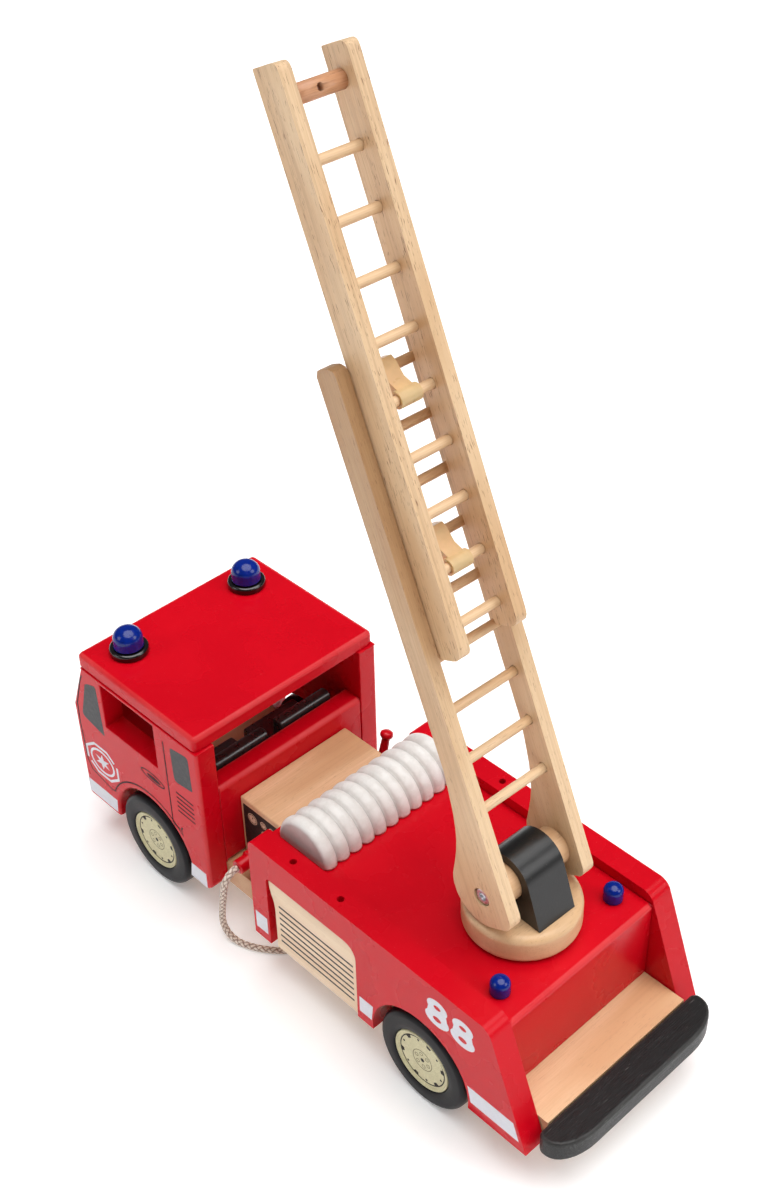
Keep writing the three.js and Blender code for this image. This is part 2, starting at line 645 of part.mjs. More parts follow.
function turntableAndLadders() {
  const turntable = new THREE.Group();
  turntable.position.set(0, TURNTABLE_Y, 0);
  turntable.rotation.z = TURNTABLE_YAW;
  engine.add(turntable);
  add(turntable, 'turntable', turntableDisc(), 'beech');
  add(turntable, 'turntable_pin', turntablePin(), 'beech');
  add(turntable, 'pedestal', pedestal(), 'black').position.z = PIVOT_Z;

  const ladder = new THREE.Group();
  ladder.position.z = PIVOT_Z;
  ladder.rotation.x = -LADDER_RAISE;
  turntable.add(ladder);
  const dowelHalf = LOWER.inner - GAP;
  const dowel = barX(DOWEL_R, -dowelHalf, dowelHalf, 0, 0, 32);
  const pilots = [[-50, -13.5], [13.5, 50]].map(([x0, x1]) => barX(2.9, x0, x1, 0, 0, 16));
  add(ladder, 'pivot_dowel', cut(dowel, pilots), 'amber');
  for (const [side, sign] of Object.entries(sides)) {
    add(ladder, `lower_rail_${side}`, lowerRail(sign), 'beech');
    add(ladder, `pivot_bolt_${side}`, pivotBolt(), 'steel').rotation.z = sign > 0 ? 0 : Math.PI;
  }
  rungPlaces(LOWER).forEach(([u, n], i) => {
    add(ladder, `lower_rung_${i + 1}`, acrossLadder(RUNG_R, LOWER.inner + 3.7, u, n), 'beech');
  });

  add(ladder, 'upper_rail_left_with_rungs', upperRailWithRungs(), 'beech');
  add(ladder, 'upper_rail_right', upperRail(), 'beech');
  add(ladder, 'upper_top_bar', topBar(), 'amber');
  CLIP_RUNGS.forEach((rung, i) => {
    const [u, n] = rungPlaces(UPPER)[rung];
    add(ladder, `ladder_hook_${i + 1}`, ladderHook(), 'plastic').position.set(0, -u, n);
  });
}

chassisAndWheels();
cab();
beacons();
pump();
body();
deckPieces();
turntableAndLadders();

function chassisAndWheels() {
  add(engine, 'chassis_board', chassisBoard(), 'amber');
  axleWithWheels('front', FRONT_AXLE_Y);
  axleWithWheels('rear', REAR_AXLE_Y);
}

export default engine;
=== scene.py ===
import json
from math import cos, pi, radians, sin

import bmesh
import bpy
from mathutils import Matrix, Vector, noise


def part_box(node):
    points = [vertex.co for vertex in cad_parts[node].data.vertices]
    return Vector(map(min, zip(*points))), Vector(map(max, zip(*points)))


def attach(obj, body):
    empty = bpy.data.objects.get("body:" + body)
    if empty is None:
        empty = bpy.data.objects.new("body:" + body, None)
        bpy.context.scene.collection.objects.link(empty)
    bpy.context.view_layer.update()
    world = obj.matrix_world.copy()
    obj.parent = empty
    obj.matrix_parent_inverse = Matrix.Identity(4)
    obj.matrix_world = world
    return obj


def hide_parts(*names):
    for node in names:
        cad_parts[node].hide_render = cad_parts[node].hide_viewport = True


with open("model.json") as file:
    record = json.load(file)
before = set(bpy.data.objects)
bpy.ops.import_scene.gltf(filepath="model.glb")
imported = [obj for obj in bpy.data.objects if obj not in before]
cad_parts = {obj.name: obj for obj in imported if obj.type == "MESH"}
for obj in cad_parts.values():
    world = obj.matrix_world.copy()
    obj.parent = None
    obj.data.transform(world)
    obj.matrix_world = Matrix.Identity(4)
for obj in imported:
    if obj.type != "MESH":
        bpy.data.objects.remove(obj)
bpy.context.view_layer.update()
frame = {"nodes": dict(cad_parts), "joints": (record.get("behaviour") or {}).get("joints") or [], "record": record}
RECORD = frame["record"]
JOINTS = {joint["name"]: joint for joint in frame["joints"]}
BODY_OF = {n: body for body, nodes in RECORD["behaviour"]["bodies"].items() for n in nodes}
SLOT_OF = {part["node"]: part["material_slot"] for part in RECORD["subparts"]}
MM = 0.001
SIDES = {"left": 1, "right": -1}


# -------------------- camera
CAMERA_PLACE = (0.52690, 0.57207, 0.89440)     # metres
CAMERA_ANGLES = (radians(136.697), radians(38.005), radians(-1.3157))     # azimuth, elevation, roll
FOCAL_PX, LONG_SIDE_PX = 1699.52, 1196
SENSOR = 36


def make_camera():
    azimuth, elevation, roll = CAMERA_ANGLES
    back = Vector((sin(azimuth) * cos(elevation), -cos(azimuth) * cos(elevation), sin(elevation)))
    right = (-back).cross(Vector((0, 0, 1))).normalized()
    up = right.cross(-back)
    right, up = cos(roll) * right + sin(roll) * up, -sin(roll) * right + cos(roll) * up
    data = bpy.data.cameras.new("camera")
    data.sensor_width = SENSOR
    data.lens = SENSOR * FOCAL_PX / LONG_SIDE_PX
    data.clip_start, data.clip_end = 0.05, 50
    camera = bpy.data.objects.new("camera", data)
    turn = Matrix((right, up, back)).transposed().to_4x4()
    camera.matrix_world = Matrix.Translation(CAMERA_PLACE) @ turn
    bpy.context.scene.collection.objects.link(camera)
    bpy.context.scene.camera = camera


make_camera()

# -------------------- the frame's places
UPRIGHT = Matrix.Identity(4)
HALF_TURN = Matrix.Rotation(pi, 4, "Z")


def joint_place(name):
    return Vector(JOINTS[name]["pos_m"])


def axes_at(origin, x, y, z):
    """A placement whose local axes are x, y and z."""
    return Matrix.Translation(origin) @ Matrix((x, y, z)).transposed().to_4x4()


# The ladder's own axes: x across it, y up along its rails, z off its upper face.
ACROSS = Vector(JOINTS["ladder_tilt"]["axis"]).normalized()
ALONG = Vector(JOINTS["ladder_extend"]["axis"]).normalized()
LADDER = axes_at(joint_place("ladder_tilt"), -ACROSS, ALONG, (-ACROSS).cross(ALONG))
UP = Vector((0, 0, 1))
TURNTABLE = axes_at(joint_place("turntable_turn"), ACROSS, UP.cross(ACROSS), UP)
FRONT_AXLE = Matrix.Translation(joint_place("front_wheels_roll"))
REAR_AXLE = Matrix.Translation(joint_place("rear_wheels_roll"))


# -------------------- materials
def colour(red, green, blue):
    """A linear colour from 8-bit display values."""
    def linear(value):
        value /= 255
        return value / 12.92 if value <= 0.04045 else ((value + 0.055) / 1.055) ** 2.4
    return (linear(red), linear(green), linear(blue), 1)


class Surface:
    """A procedural material built node by node. Its coordinates are the piece's own, in mm."""

    def __init__(self, name, roughness, **settings):
        self.material = bpy.data.materials.new(name)
        self.material.use_nodes = True
        self.nodes = self.material.node_tree.nodes
        self.links = self.material.node_tree.links
        self.shader = self.nodes["Principled BSDF"]
        self.shader.inputs["Roughness"].default_value = roughness
        for key, value in settings.items():
            self.shader.inputs[key.replace("_", " ")].default_value = value
        texture = self.nodes.new("ShaderNodeTexCoord")
        self.place = self.stretched(texture.outputs["Object"], (1000, 1000, 1000))
        self.height = None

    def node(self, kind, inputs=(), **settings):
        """A new node. Each of its inputs takes a plain value or another node's output."""
        made = self.nodes.new(kind)
        for key, value in settings.items():
            setattr(made, key, value)
        for key, value in dict(inputs).items():
            if isinstance(value, bpy.types.NodeSocket):
                self.links.new(value, made.inputs[key])
            else:
                made.inputs[key].default_value = value
        return made

    def stretched(self, vector, scale):
        """The vector with each axis scaled by its own factor."""
        mapping = self.node("ShaderNodeVectorMath", {0: vector, 1: scale}, operation="MULTIPLY")
        return mapping.outputs[0]

    def noise(self, size, detail=2.0, roughness=0.5, distortion=0.0):
        """Noise whose features measure about `size` mm along each axis."""
        vector = self.stretched(self.place, [1 / s for s in size])
        settings = {"Vector": vector, "Scale": 1.0, "Detail": detail, "Roughness": roughness,
                    "Distortion": distortion}
        return self.node("ShaderNodeTexNoise", settings).outputs["Fac"]

    def ramp(self, value, low, high, start=0.0, end=1.0):
        """Turns `value` between low and high into start to end."""
        limits = {"Value": value, "From Min": low, "From Max": high, "To Min": start, "To Max": end}
        return self.node("ShaderNodeMapRange", limits, interpolation_type="SMOOTHSTEP").outputs["Result"]

    def maths(self, operation, a, b):
        return self.node("ShaderNodeMath", {0: a, 1: b}, operation=operation).outputs[0]

    def times(self, a, b):
        return self.maths("MULTIPLY", a, b)

    def mix(self, share, a, b, blend="MIX"):
        """The colour `a`, with `share` of it taken over by `b`."""
        inputs = {0: share, 6: a, 7: b}
        return self.node("ShaderNodeMix", inputs, data_type="RGBA", blend_type=blend).outputs[2]

    def attribute(self, name):
        """A number stored on the mesh. `edge` is 1 on a piece's rounded edges and 0 on its faces."""
        return self.node("ShaderNodeAttribute", attribute_name=name).outputs["Fac"]

    def paint(self, value):
        self.links.new(value, self.shader.inputs["Base Color"])

    def roughness(self, value):
        self.links.new(value, self.shader.inputs["Roughness"])

    def bump(self, height, depth):
        """Raises the surface by up to `depth` mm where height is 1."""
        settings = {"Height": height, "Distance": depth * MM, "Strength": 1.0}
        if self.height is not None:
            settings["Normal"] = self.height
        self.height = self.node("ShaderNodeBump", settings).outputs[0]
        self.links.new(self.height, self.shader.inputs["Normal"])


def grain(axis, along, across):
    """The size of a feature that lies along one axis."""
    return [along if i == axis else across for i in range(3)]


# How dark and brown a board turns where painted shade lies along its grain.
PAINTED_SHADE_TINT = (0.66, 0.56, 0.46, 1)
WOOD_ROUGHNESS = 0.42


def bare_wood(name, light, dark, fleck, axis, figure, painted_shade_span=None):
    """Beech: broad tone, fine growth lines, fibres, and short dark flecks along the grain.

    `figure` is how strongly the lines and flecks show. `painted_shade_span` is where along the grain the
    board starts and ends turning browner: painted shade, not a tone of the wood.
    """
    s = Surface(name, WOOD_ROUGHNESS, Coat_Weight=0.1, Coat_Roughness=0.35)
    tone = s.ramp(s.noise(grain(axis, 150, 26), 2, 0.5), 0.35, 0.65)
    lines = s.ramp(s.noise(grain(axis, 190, 1.9), 2, 0.6, 0.15), 0.47, 0.66)
    fibres = s.noise(grain(axis, 22, 0.6), 2, 0.6)
    dashes = s.ramp(s.noise(grain(axis, 6.5, 0.5), 1, 0.45), 0.66, 0.7)
    patches = s.ramp(s.noise(grain(axis, 70, 9), 2), 0.36, 0.56)
    flecks = s.times(dashes, s.ramp(patches, 0, 1, 0.3, 1))
    wood = s.mix(tone, light, dark)
    wood = s.mix(s.times(lines, 0.22 * figure), wood, fleck)
    wood = s.mix(s.ramp(fibres, 0.35, 0.7, 0, 0.4), wood, dark)
    wood = s.mix(s.times(flecks, 0.8 * figure), wood, fleck)
    # Painted shade: the board turns darker and browner along this span of its grain.
    if painted_shade_span:
        along = s.node("ShaderNodeSeparateXYZ", {0: s.place}).outputs[axis]
        wood = s.mix(s.ramp(along, *painted_shade_span, 0, 1), wood, PAINTED_SHADE_TINT, "MULTIPLY")
    s.paint(wood)
    s.roughness(s.ramp(fibres, 0.2, 0.8, WOOD_ROUGHNESS - 0.08, WOOD_ROUGHNESS + 0.1))
    s.bump(fibres, 0.04)
    s.bump(s.maths("SUBTRACT", 1.0, flecks), 0.05)
    return s.material


def painted_wood(name, face, worn_and_highlight, roughness, edge_wear_and_highlight, grain_depth=0.03, axis=1, specular=0.13):
    """Paint over wood: the grain telegraphs through, and the rounded edges turn paler, partly as wear and partly
    as a painted highlight.
    """
    s = Surface(name, roughness, Coat_Weight=0.05, Coat_Roughness=0.12, Specular_IOR_Level=specular)
    cloudy = s.noise((38, 38, 38), 3)
    fibres = s.noise(grain(axis, 30, 1.1), 2, 0.6)
    specks = s.ramp(s.noise((1.1, 1.1, 1.1), 1), 0.74, 0.78)
    deep = tuple(c * 0.95 for c in face[:3]) + (1,)
    base = s.mix(s.ramp(cloudy, 0.35, 0.65), deep, face)
    base = s.mix(s.times(specks, 0.22), base, worn_and_highlight)
    # The paler rounded edges are partly wear and partly a painted highlight.
    edge_patches = s.ramp(s.noise((60, 60, 60), 1), 0.2, 0.6, 0.35, 1)
    base = s.mix(s.times(s.times(s.attribute("edge"), edge_patches), edge_wear_and_highlight), base, worn_and_highlight)
    s.paint(base)
    s.roughness(s.ramp(cloudy, 0.3, 0.7, roughness - 0.02, roughness + 0.03))
    s.bump(fibres, grain_depth)
    s.bump(s.noise((6, 6, 6), 2), 0.02)
    return s.material


def stained_bumper():
    """Black stain on open-pored wood: long pores and pale scratches along it."""
    s = Surface("bumper_stain", 0.4, Coat_Weight=0.1, Coat_Roughness=0.25, Specular_IOR_Level=0.3)
    pores = s.ramp(s.noise((14, 0.55, 0.55), 2, 0.6), 0.5, 0.66)
    scratches = s.ramp(s.noise((9, 0.5, 0.5), 1, 0.5, 0.6), 0.7, 0.76)
    patches = s.ramp(s.noise((22, 9, 9), 2), 0.42, 0.6)
    base = s.mix(pores, colour(9, 8, 8), colour(22, 21, 22))
    pale = s.times(s.times(scratches, patches), 0.7)
    base = s.mix(pale, base, colour(150, 148, 144))
    base = s.mix(s.times(s.attribute("edge"), 0.25), base, colour(90, 88, 86))
    s.paint(base)
    s.roughness(s.ramp(pores, 0, 1, 0.46, 0.3))
    s.bump(pores, 0.14)
    return s.material


def tyre_rubber():
    """Black rubber with a thin haze of dust."""
    s = Surface("tyre_rubber", 0.36, Specular_IOR_Level=0.13)
    dust = s.noise((16, 16, 16), 3, 0.6)
    fine = s.noise((0.9, 0.9, 0.9), 2)
    base = s.mix(s.ramp(dust, 0.35, 0.7), colour(18, 18, 21), colour(28, 27, 30))
    base = s.mix(s.ramp(fine, 0.6, 0.8, 0, 0.15), base, colour(80, 78, 78))
    s.paint(base)
    s.roughness(s.ramp(dust, 0.3, 0.7, 0.3, 0.42))
    s.bump(fine, 0.02)
    return s.material


def printed_disc():
    """Cream disc with the speckle of a screen print."""
    s = Surface("disc_cream", 0.55)
    speckle = s.ramp(s.noise((0.9, 0.9, 0.9), 2, 0.7), 0.4, 0.66)
    smears = s.ramp(s.noise((5, 5, 5), 3, 0.6), 0.4, 0.7)
    base = s.mix(speckle, colour(206, 198, 158), colour(220, 213, 174))
    base = s.mix(s.times(smears, 0.35), base, colour(186, 176, 136))
    s.paint(base)
    s.bump(speckle, 0.03)
    return s.material


def hose_white():
    """White paint, with painted shade: a little greyer down in the grooves between the ridges."""
    s = Surface("hose_white", 0.5, Coat_Weight=0.1, Coat_Roughness=0.4)
    groove = s.attribute("groove")
    mottle = s.noise((6, 6, 6), 3, 0.6)
    base = s.mix(s.ramp(mottle, 0.35, 0.7), colour(240, 236, 232), colour(229, 224, 219))
    # Painted shade: grey in the grooves between the ridges.
    base = s.mix(s.times(groove, 0.5), base, colour(140, 134, 130))
    s.paint(base)
    s.bump(mottle, 0.03)
    s.bump(s.noise((1.2, 1.2, 1.2), 2), 0.02)
    return s.material


def rope_cotton():
    """Fuzzy cotton, with painted shade: darker where one strand dips under another."""
    s = Surface("rope_cotton", 0.9, Sheen_Weight=0.4, Sheen_Roughness=0.6)
    strand = s.attribute("strand")
    fuzz = s.noise((0.5, 0.5, 0.5), 3, 0.7)
    # Painted shade: the valleys between the strands are darker.
    base = s.mix(s.ramp(strand, 0.3, 0.95), colour(150, 118, 100), colour(240, 226, 212))
    base = s.mix(s.ramp(fuzz, 0.4, 0.75, 0, 0.3), base, colour(206, 184, 168))
    s.paint(base)
    s.bump(fuzz, 0.12)
    return s.material


def plain(name, face, roughness, spread, size, depth=0.02, **settings):
    """A moulded, lacquered or printed surface with a slight mottle."""
    s = Surface(name, roughness, **settings)
    mottle = s.noise((size, size, size), 3, 0.6)
    deep = tuple(c * (1 - spread) for c in face[:3]) + (1,)
    s.paint(s.mix(s.ramp(mottle, 0.35, 0.68), deep, face))
    s.roughness(s.ramp(mottle, 0.3, 0.7, roughness * 0.85, roughness * 1.2))
    s.bump(mottle, depth)
    return s.material


# Each wood is its light tone, its dark tone and its flecks. The last letter of a wood is the axis
# that its grain follows.
PALE = (colour(233, 201, 161), colour(216, 176, 132), colour(140, 84, 52))
PANEL = (colour(244, 218, 186), colour(232, 202, 168), PALE[2])
WARM = (colour(228, 190, 148), colour(208, 162, 118), colour(146, 96, 64))
PUMP = (colour(224, 184, 144), colour(194, 148, 107), colour(140, 92, 62))
BROWN = (colour(206, 152, 114), colour(188, 130, 94), colour(120, 70, 46))
BEECH_X = bare_wood("beech_x", *PALE, 0, 0.45)
BEECH_Z = bare_wood("beech_z", *PALE, 2, 0.45)
PANEL_Y = bare_wood("panel_beech_y", *PANEL, 1, 0.3)
# The lower rails carry painted shade: browner towards their upper ends.
LOWER_RAIL_Y = bare_wood("lower_rail_beech_y", *PALE, 1, 0.6, painted_shade_span=(40, 290))
FLECKED_Y = bare_wood("flecked_beech_y", *PALE, 1, 1.0)
WARM_X = bare_wood("warm_beech_x", *WARM, 0, 0.4)
PUMP_X = bare_wood("pump_box_beech_x", *PUMP, 0, 0.5)
BROWN_X = bare_wood("brown_beech_x", *BROWN, 0, 0.5)
# The red's pale edge colour is partly wear and partly a painted highlight.
RED = painted_wood("red_paint", colour(206, 5, 26), colour(242, 122, 118), 0.27, 0.2)
RED_GLOSS = painted_wood("red_turned", colour(200, 6, 24), colour(226, 90, 84), 0.28, 0.15, 0.01, 0, 0.3)
BLACK = painted_wood("black_paint", colour(22, 21, 21), colour(112, 98, 88), 0.34, 0.4, 0.05, 2, 0.5)
BUMPER = stained_bumper()
TYRE = tyre_rubber()
DISC = printed_disc()
WHITE = hose_white()
ROPE = rope_cotton()
BLUE = plain("blue_lacquer", colour(2, 36, 134), 0.17, 0.2, 6, 0.01, Specular_IOR_Level=0.4)
BASE_BLACK = plain("beacon_black", colour(16, 12, 13), 0.22, 0.2, 6, 0.02,
                   Coat_Weight=0.5, Coat_Roughness=0.1)
SEAT_BLACK = plain("seat_black", colour(44, 41, 40), 0.3, 0.2, 5, 0.02,
                   Coat_Weight=0.5, Coat_Roughness=0.2)
HOOK = plain("hook_plastic", colour(224, 184, 134), 0.32, 0.08, 9, 0.01, Subsurface_Weight=0.15)
STEEL = plain("bolt_steel", colour(212, 212, 218), 0.34, 0.15, 2, 0.01, Metallic=1.0)
PRINT_WHITE = plain("print_white", colour(224, 224, 232), 0.45, 0.06, 3)
PRINT_GREY = plain("print_grey", colour(56, 56, 59), 0.45, 0.1, 3, Specular_IOR_Level=0.3)
PRINT_DARK = plain("print_dark", colour(24, 11, 8), 0.5, 0.1, 3, Specular_IOR_Level=0.25)
PRINT_LINE = plain("print_line", colour(30, 6, 10), 0.5, 0.1, 3, Specular_IOR_Level=0.1)
PRINT_TAN = plain("print_tan", colour(216, 180, 150), 0.45, 0.15, 1.5)
PRINT_HUB = plain("print_hub", colour(120, 108, 74), 0.5, 0.1, 3)


# -------------------- pieces from the frame
def mesh_of(bm, name):
    """A mesh with the shape of `bm`, which is used up."""
    mesh = bpy.data.meshes.new(name)
    bm.to_mesh(mesh)
    bm.free()
    return mesh


def new_piece(name, mesh, body, material, place=UPRIGHT):
    """An object in the scene that rides on a body, with its local axes at `place`."""
    piece = bpy.data.objects.new(name, mesh)
    piece.data.materials.append(material)
    piece.matrix_world = place
    bpy.context.scene.collection.objects.link(piece)
    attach(piece, body)
    return piece


def even_normals(piece):
    """Smooth shading that keeps the flat faces flat."""
    piece.data.polygons.foreach_set("use_smooth", [True] * len(piece.data.polygons))
    shading = piece.modifiers.new("even_normals", "WEIGHTED_NORMAL")
    shading.keep_sharp = True
    shading.weight = 100


WIDEST_FACE = 8      # corners: a face with more is cut into triangles


def soften(bm, radius, segments, limit=40.0, fine=None):
    """Rounds every edge sharper than `limit` degrees and marks the rounding as edge.

    `fine` is a radius and a test on an edge's middle: the edges that pass get that radius.
    """
    def round_off(edges, size):
        return bmesh.ops.bevel(bm, geom=edges, offset=size * MM, offset_type="OFFSET", segments=segments,
                               profile=0.5, affect="EDGES", clamp_overlap=True)["faces"]

    def sharp_edges():
        return [e for e in bm.edges if len(e.link_faces) == 2 and e.calc_face_angle() > radians(limit)]

    def passes(edge):
        return fine[1](*((edge.verts[0].co + edge.verts[1].co) / 2 / MM))

    if fine:
        round_off([e for e in sharp_edges() if passes(e)], fine[0])
        bm.edges.ensure_lookup_table()
        rest = [e for e in sharp_edges() if not passes(e)]
    else:
        rest = sharp_edges()
    rounded_faces = set(round_off(rest, radius))
    layer = bm.verts.layers.float.new("edge")
    for vert in bm.verts:
        vert[layer] = float(bool(vert.link_faces) and all(f in rounded_faces for f in vert.link_faces))
    wide = [f for f in bm.faces if len(f.verts) > WIDEST_FACE]
    bmesh.ops.triangulate(bm, faces=wide, quad_method="BEAUTY", ngon_method="EAR_CLIP")


SAME_POINT = 0.002
FLAT_ENOUGH = radians(0.6)


def cad_mesh(node, place):
    """A node's own shape, with its flat faces whole, in the axes of `place`."""
    bm = bmesh.new()
    bm.from_mesh(frame["nodes"][node].data)
    bmesh.ops.remove_doubles(bm, verts=bm.verts, dist=SAME_POINT * MM)
    bmesh.ops.dissolve_limit(bm, angle_limit=FLAT_ENOUGH, verts=bm.verts, edges=bm.edges)
    bmesh.ops.transform(bm, matrix=place.inverted(), verts=bm.verts)
    bmesh.ops.recalc_face_normals(bm, faces=bm.faces)
    return bm


def finished(node, material, radius=1.0, segments=3, place=UPRIGHT, limit=40.0, fine=None,
             mirror_of=None):
    """The finished piece of a node: its shape, or its twin's mirrored in x, with rounded edges."""
    bm = cad_mesh(mirror_of or node, place)
    if mirror_of:
        bmesh.ops.scale(bm, vec=(-1, 1, 1), verts=bm.verts)
        bmesh.ops.reverse_faces(bm, faces=bm.faces)
    if radius:
        soften(bm, radius, segments, limit, fine)
    piece = new_piece(node + "_finish", mesh_of(bm, node), BODY_OF[node], material, place)
    even_normals(piece)
    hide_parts(node)


def turned(name, profile, body, material, place, axis="Z", steps=64, close=False):
    """A turned piece: (radius, height) pairs about an axis, from one end to the other.

    With `close`, the last pair is joined to the first, for a piece with a hole through it.
    """
    bm = bmesh.new()
    rings = []
    for radius, height in profile:
        if radius == 0:
            rings.append([bm.verts.new((0, 0, height * MM))])
            continue
        loop = []
        for i in range(steps):
            angle = 2 * pi * i / steps
            loop.append(bm.verts.new((radius * MM * cos(angle), radius * MM * sin(angle), height * MM)))
        rings.append(loop)
    for low, high in zip(rings, rings[1:] + rings[:1] if close else rings[1:]):
        for i in range(steps):
            j = (i + 1) % steps
            corners = [low[i % len(low)], low[j % len(low)], high[j % len(high)], high[i % len(high)]]
            bm.faces.new(list(dict.fromkeys(corners)))
    if axis == "X":
        bmesh.ops.rotate(bm, verts=bm.verts, matrix=Matrix.Rotation(pi / 2, 3, "Y"))
    bmesh.ops.recalc_face_normals(bm, faces=bm.faces)
    piece = new_piece(name, mesh_of(bm, name), body, material, place=place)
    even_normals(piece)
    return piece


def turned_node(node, name, profile, material, place, axis="Z", steps=64, close=False):
    """The turned piece that stands for a node."""
    piece = turned(name, profile, BODY_OF[node], material, place, axis, steps, close)
    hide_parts(node)


def foot_of(node):
    """The placement at the middle of the underside of a node's box."""
    low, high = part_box(node)
    middle = (low + high) / 2
    return Matrix.Translation((middle.x, middle.y, low.z))


def arc(cx, cy, radius, start, end, steps):
    """Points on a circle, angles in degrees."""
    angles = [radians(start + (end - start) * i / steps) for i in range(steps + 1)]
    return [(cx + radius * cos(a), cy + radius * sin(a)) for a in angles]


# -------------------- prints
# A print is a skin of ink on a face: flat loops, one inside another where there is a hole.
INK = 0.06


def print_on(name, loops, place, body, material):
    """A print whose loops lie in the plane of the first two axes of `place`."""
    curve = bpy.data.curves.new(name, "CURVE")
    curve.dimensions = "2D"
    curve.fill_mode = "BOTH"
    curve.extrude = INK * MM
    for loop in loops:
        spline = curve.splines.new("POLY")
        spline.points.add(len(loop) - 1)
        for point, (a, b) in zip(spline.points, loop):
            point.co = (a * MM, b * MM, 0, 1)
        spline.use_cyclic_u = True
    shape = bpy.data.objects.new(name, curve)
    mesh = bpy.data.meshes.new_from_object(shape)
    bpy.data.objects.remove(shape)
    bpy.data.curves.remove(curve)
    bm = bmesh.new()
    bm.from_mesh(mesh)
    bmesh.ops.remove_doubles(bm, verts=bm.verts, dist=1e-7)
    bm.to_mesh(mesh)
    bm.free()
    new_piece(name, mesh, body, material, place=place)


def printer(place, face, body="vehicle"):
    """A function that prints on one face. The name of each print ends in the face's place."""
    def put(name, loops, material):
        print_on(f"{name}_{place}", loops, face, body, material)
    return put


CORNER_STEPS = 5


def rounded(corners, radius):
    """A closed outline with its corners rounded off; a corner may carry its own radius."""
    loop = []
    for i, corner in enumerate(corners):
        here = Vector(corner[:2])
        before = (Vector(corners[i - 1][:2]) - here).normalized()
        after = (Vector(corners[(i + 1) % len(corners)][:2]) - here).normalized()
        reach = corner[2] if len(corner) > 2 else radius
        a, b = here + before * reach, here + after * reach
        for k in range(CORNER_STEPS + 1):
            t = k / CORNER_STEPS
            p = a * (1 - t) ** 2 + here * 2 * t * (1 - t) + b * t ** 2
            loop.append((p.x, p.y))
    return loop


def ring(cx, cy, radius, width, steps):
    """The two loops of a circular line."""
    last = 360 * (1 - 1 / steps)
    return [arc(cx, cy, r, 0, last, steps - 1) for r in (radius + width / 2, radius - width / 2)]


def dot(cx, cy, rx, ry, steps, lean=0.0):
    """A filled circle or ellipse."""
    loop = []
    for i in range(steps):
        a = 2 * pi * i / steps
        x, y = rx * cos(a), ry * sin(a)
        loop.append((cx + x * cos(lean) - y * sin(lean), cy + x * sin(lean) + y * cos(lean)))
    return loop


def stroke(points, width, closed=False):
    """The outline of a pen line through the points."""
    left, right = [], []
    count = len(points)
    for i, point in enumerate(points):
        here = Vector(point)
        before = Vector(points[i - 1]) if closed or i else here
        after = Vector(points[(i + 1) % count]) if closed or i < count - 1 else here
        way = ((here - before).normalized() + (after - here).normalized()).normalized()
        side = Vector((-way.y, way.x)) * width / 2
        left.append(tuple(here + side))
        right.append(tuple(here - side))
    return [left, right] if closed else [left + right[::-1]]


# A side face's own axes: along the toy, up, and across it.
SIDEWAYS = Vector((0, 1, 0)), Vector((0, 0, 1)), Vector((1, 0, 0))


def side_faces(node):
    """Each side, its sign, and a placement on it, as far out as a node reaches on the left."""
    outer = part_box(node)[1].x
    for side, sign in SIDES.items():
        yield side, sign, axes_at(Vector((sign * outer, 0, 0)), *SIDEWAYS)


# -------------------- rope hose
# The rope lies where its CAD node lies: straight out of the peg, down to the floor, under the
# chassis, up through the hole in it and into the foot of the nozzle.
ROPE_ROUTE = [
    (72.8, -62.5, 67.6), (76.2, -62.5, 67.4), (79.8, -62.5, 65.7), (82.6, -62.8, 62.2),
    (83.9, -63.5, 57.2), (84.2, -65, 49), (83.9, -67.2, 39.5), (83.4, -69.4, 30),
    (82.9, -70.9, 21), (82.4, -71, 13.6), (81.6, -68.3, 7.1), (80.5, -63.2, 3.5),
    (79.1, -57.4, 2.6), (76.4, -50.6, 2.6), (72.4, -43.6, 2.6), (67.4, -36.8, 2.6),
    (61.2, -30.6, 2.6), (52.6, -25.2, 2.6), (41.6, -21.8, 2.6), (28.6, -21, 2.6),
    (14.6, -22.8, 2.6), (0.8, -27.4, 2.6), (-12, -34.2, 2.6), (-23.4, -42.4, 2.8),
    (-32.6, -50.4, 4.4), (-39.2, -56.8, 9), (-43.4, -60.6, 16.4), (-46, -62.1, 25.4),
    (-48.4, -62.5, 34.6), (-50.8, -62.5, 43.4), (-53, -62.5, 51.6),
]
ROPE_DIAMETER = 5.0
ROPE_GROOVE = 0.55       # how deep the braid's valleys are
ROPE_STEP = 0.55         # between two rings of its mesh
ROPE_SIDES = 32
BRAID_STRANDS, BRAID_PITCH = 4, 19.0
STEPS_PER_KNOT = 24


def smooth_route(points, step):
    """Points about `step` apart along a smooth curve through the route, and the curve's length."""
    knots = [Vector(p) for p in points]
    knots = [knots[0] * 2 - knots[1]] + knots + [knots[-1] * 2 - knots[-2]]
    fine = []
    for a, b, c, d in zip(knots, knots[1:], knots[2:], knots[3:]):
        for i in range(STEPS_PER_KNOT):
            t = i / STEPS_PER_KNOT
            fine.append(0.5 * (2 * b + (c - a) * t + (2 * a - 5 * b + 4 * c - d) * t * t
                               + (3 * b - a - 3 * c + d) * t ** 3))
    fine.append(knots[-2])
    travelled = [0.0]
    for p, q in zip(fine, fine[1:]):
        travelled.append(travelled[-1] + (q - p).length)
    length = travelled[-1]
    count = round(length / step)
    even, k = [], 0
    for i in range(count + 1):
        goal = length * i / count
        while k < len(fine) - 2 and travelled[k + 1] < goal:
            k += 1
        t = (goal - travelled[k]) / (travelled[k + 1] - travelled[k])
        even.append(fine[k].lerp(fine[k + 1], min(max(t, 0), 1)))
    return even, length


def braid(turn, along):
    """How high the braid stands: strands wind both ways and pass over and under each other."""
    one = BRAID_STRANDS / 2 * (turn + 2 * pi * along / BRAID_PITCH)
    other = BRAID_STRANDS / 2 * (turn - 2 * pi * along / BRAID_PITCH)
    return abs(cos(one)) if cos(one) * cos(other) > 0 else abs(cos(other))


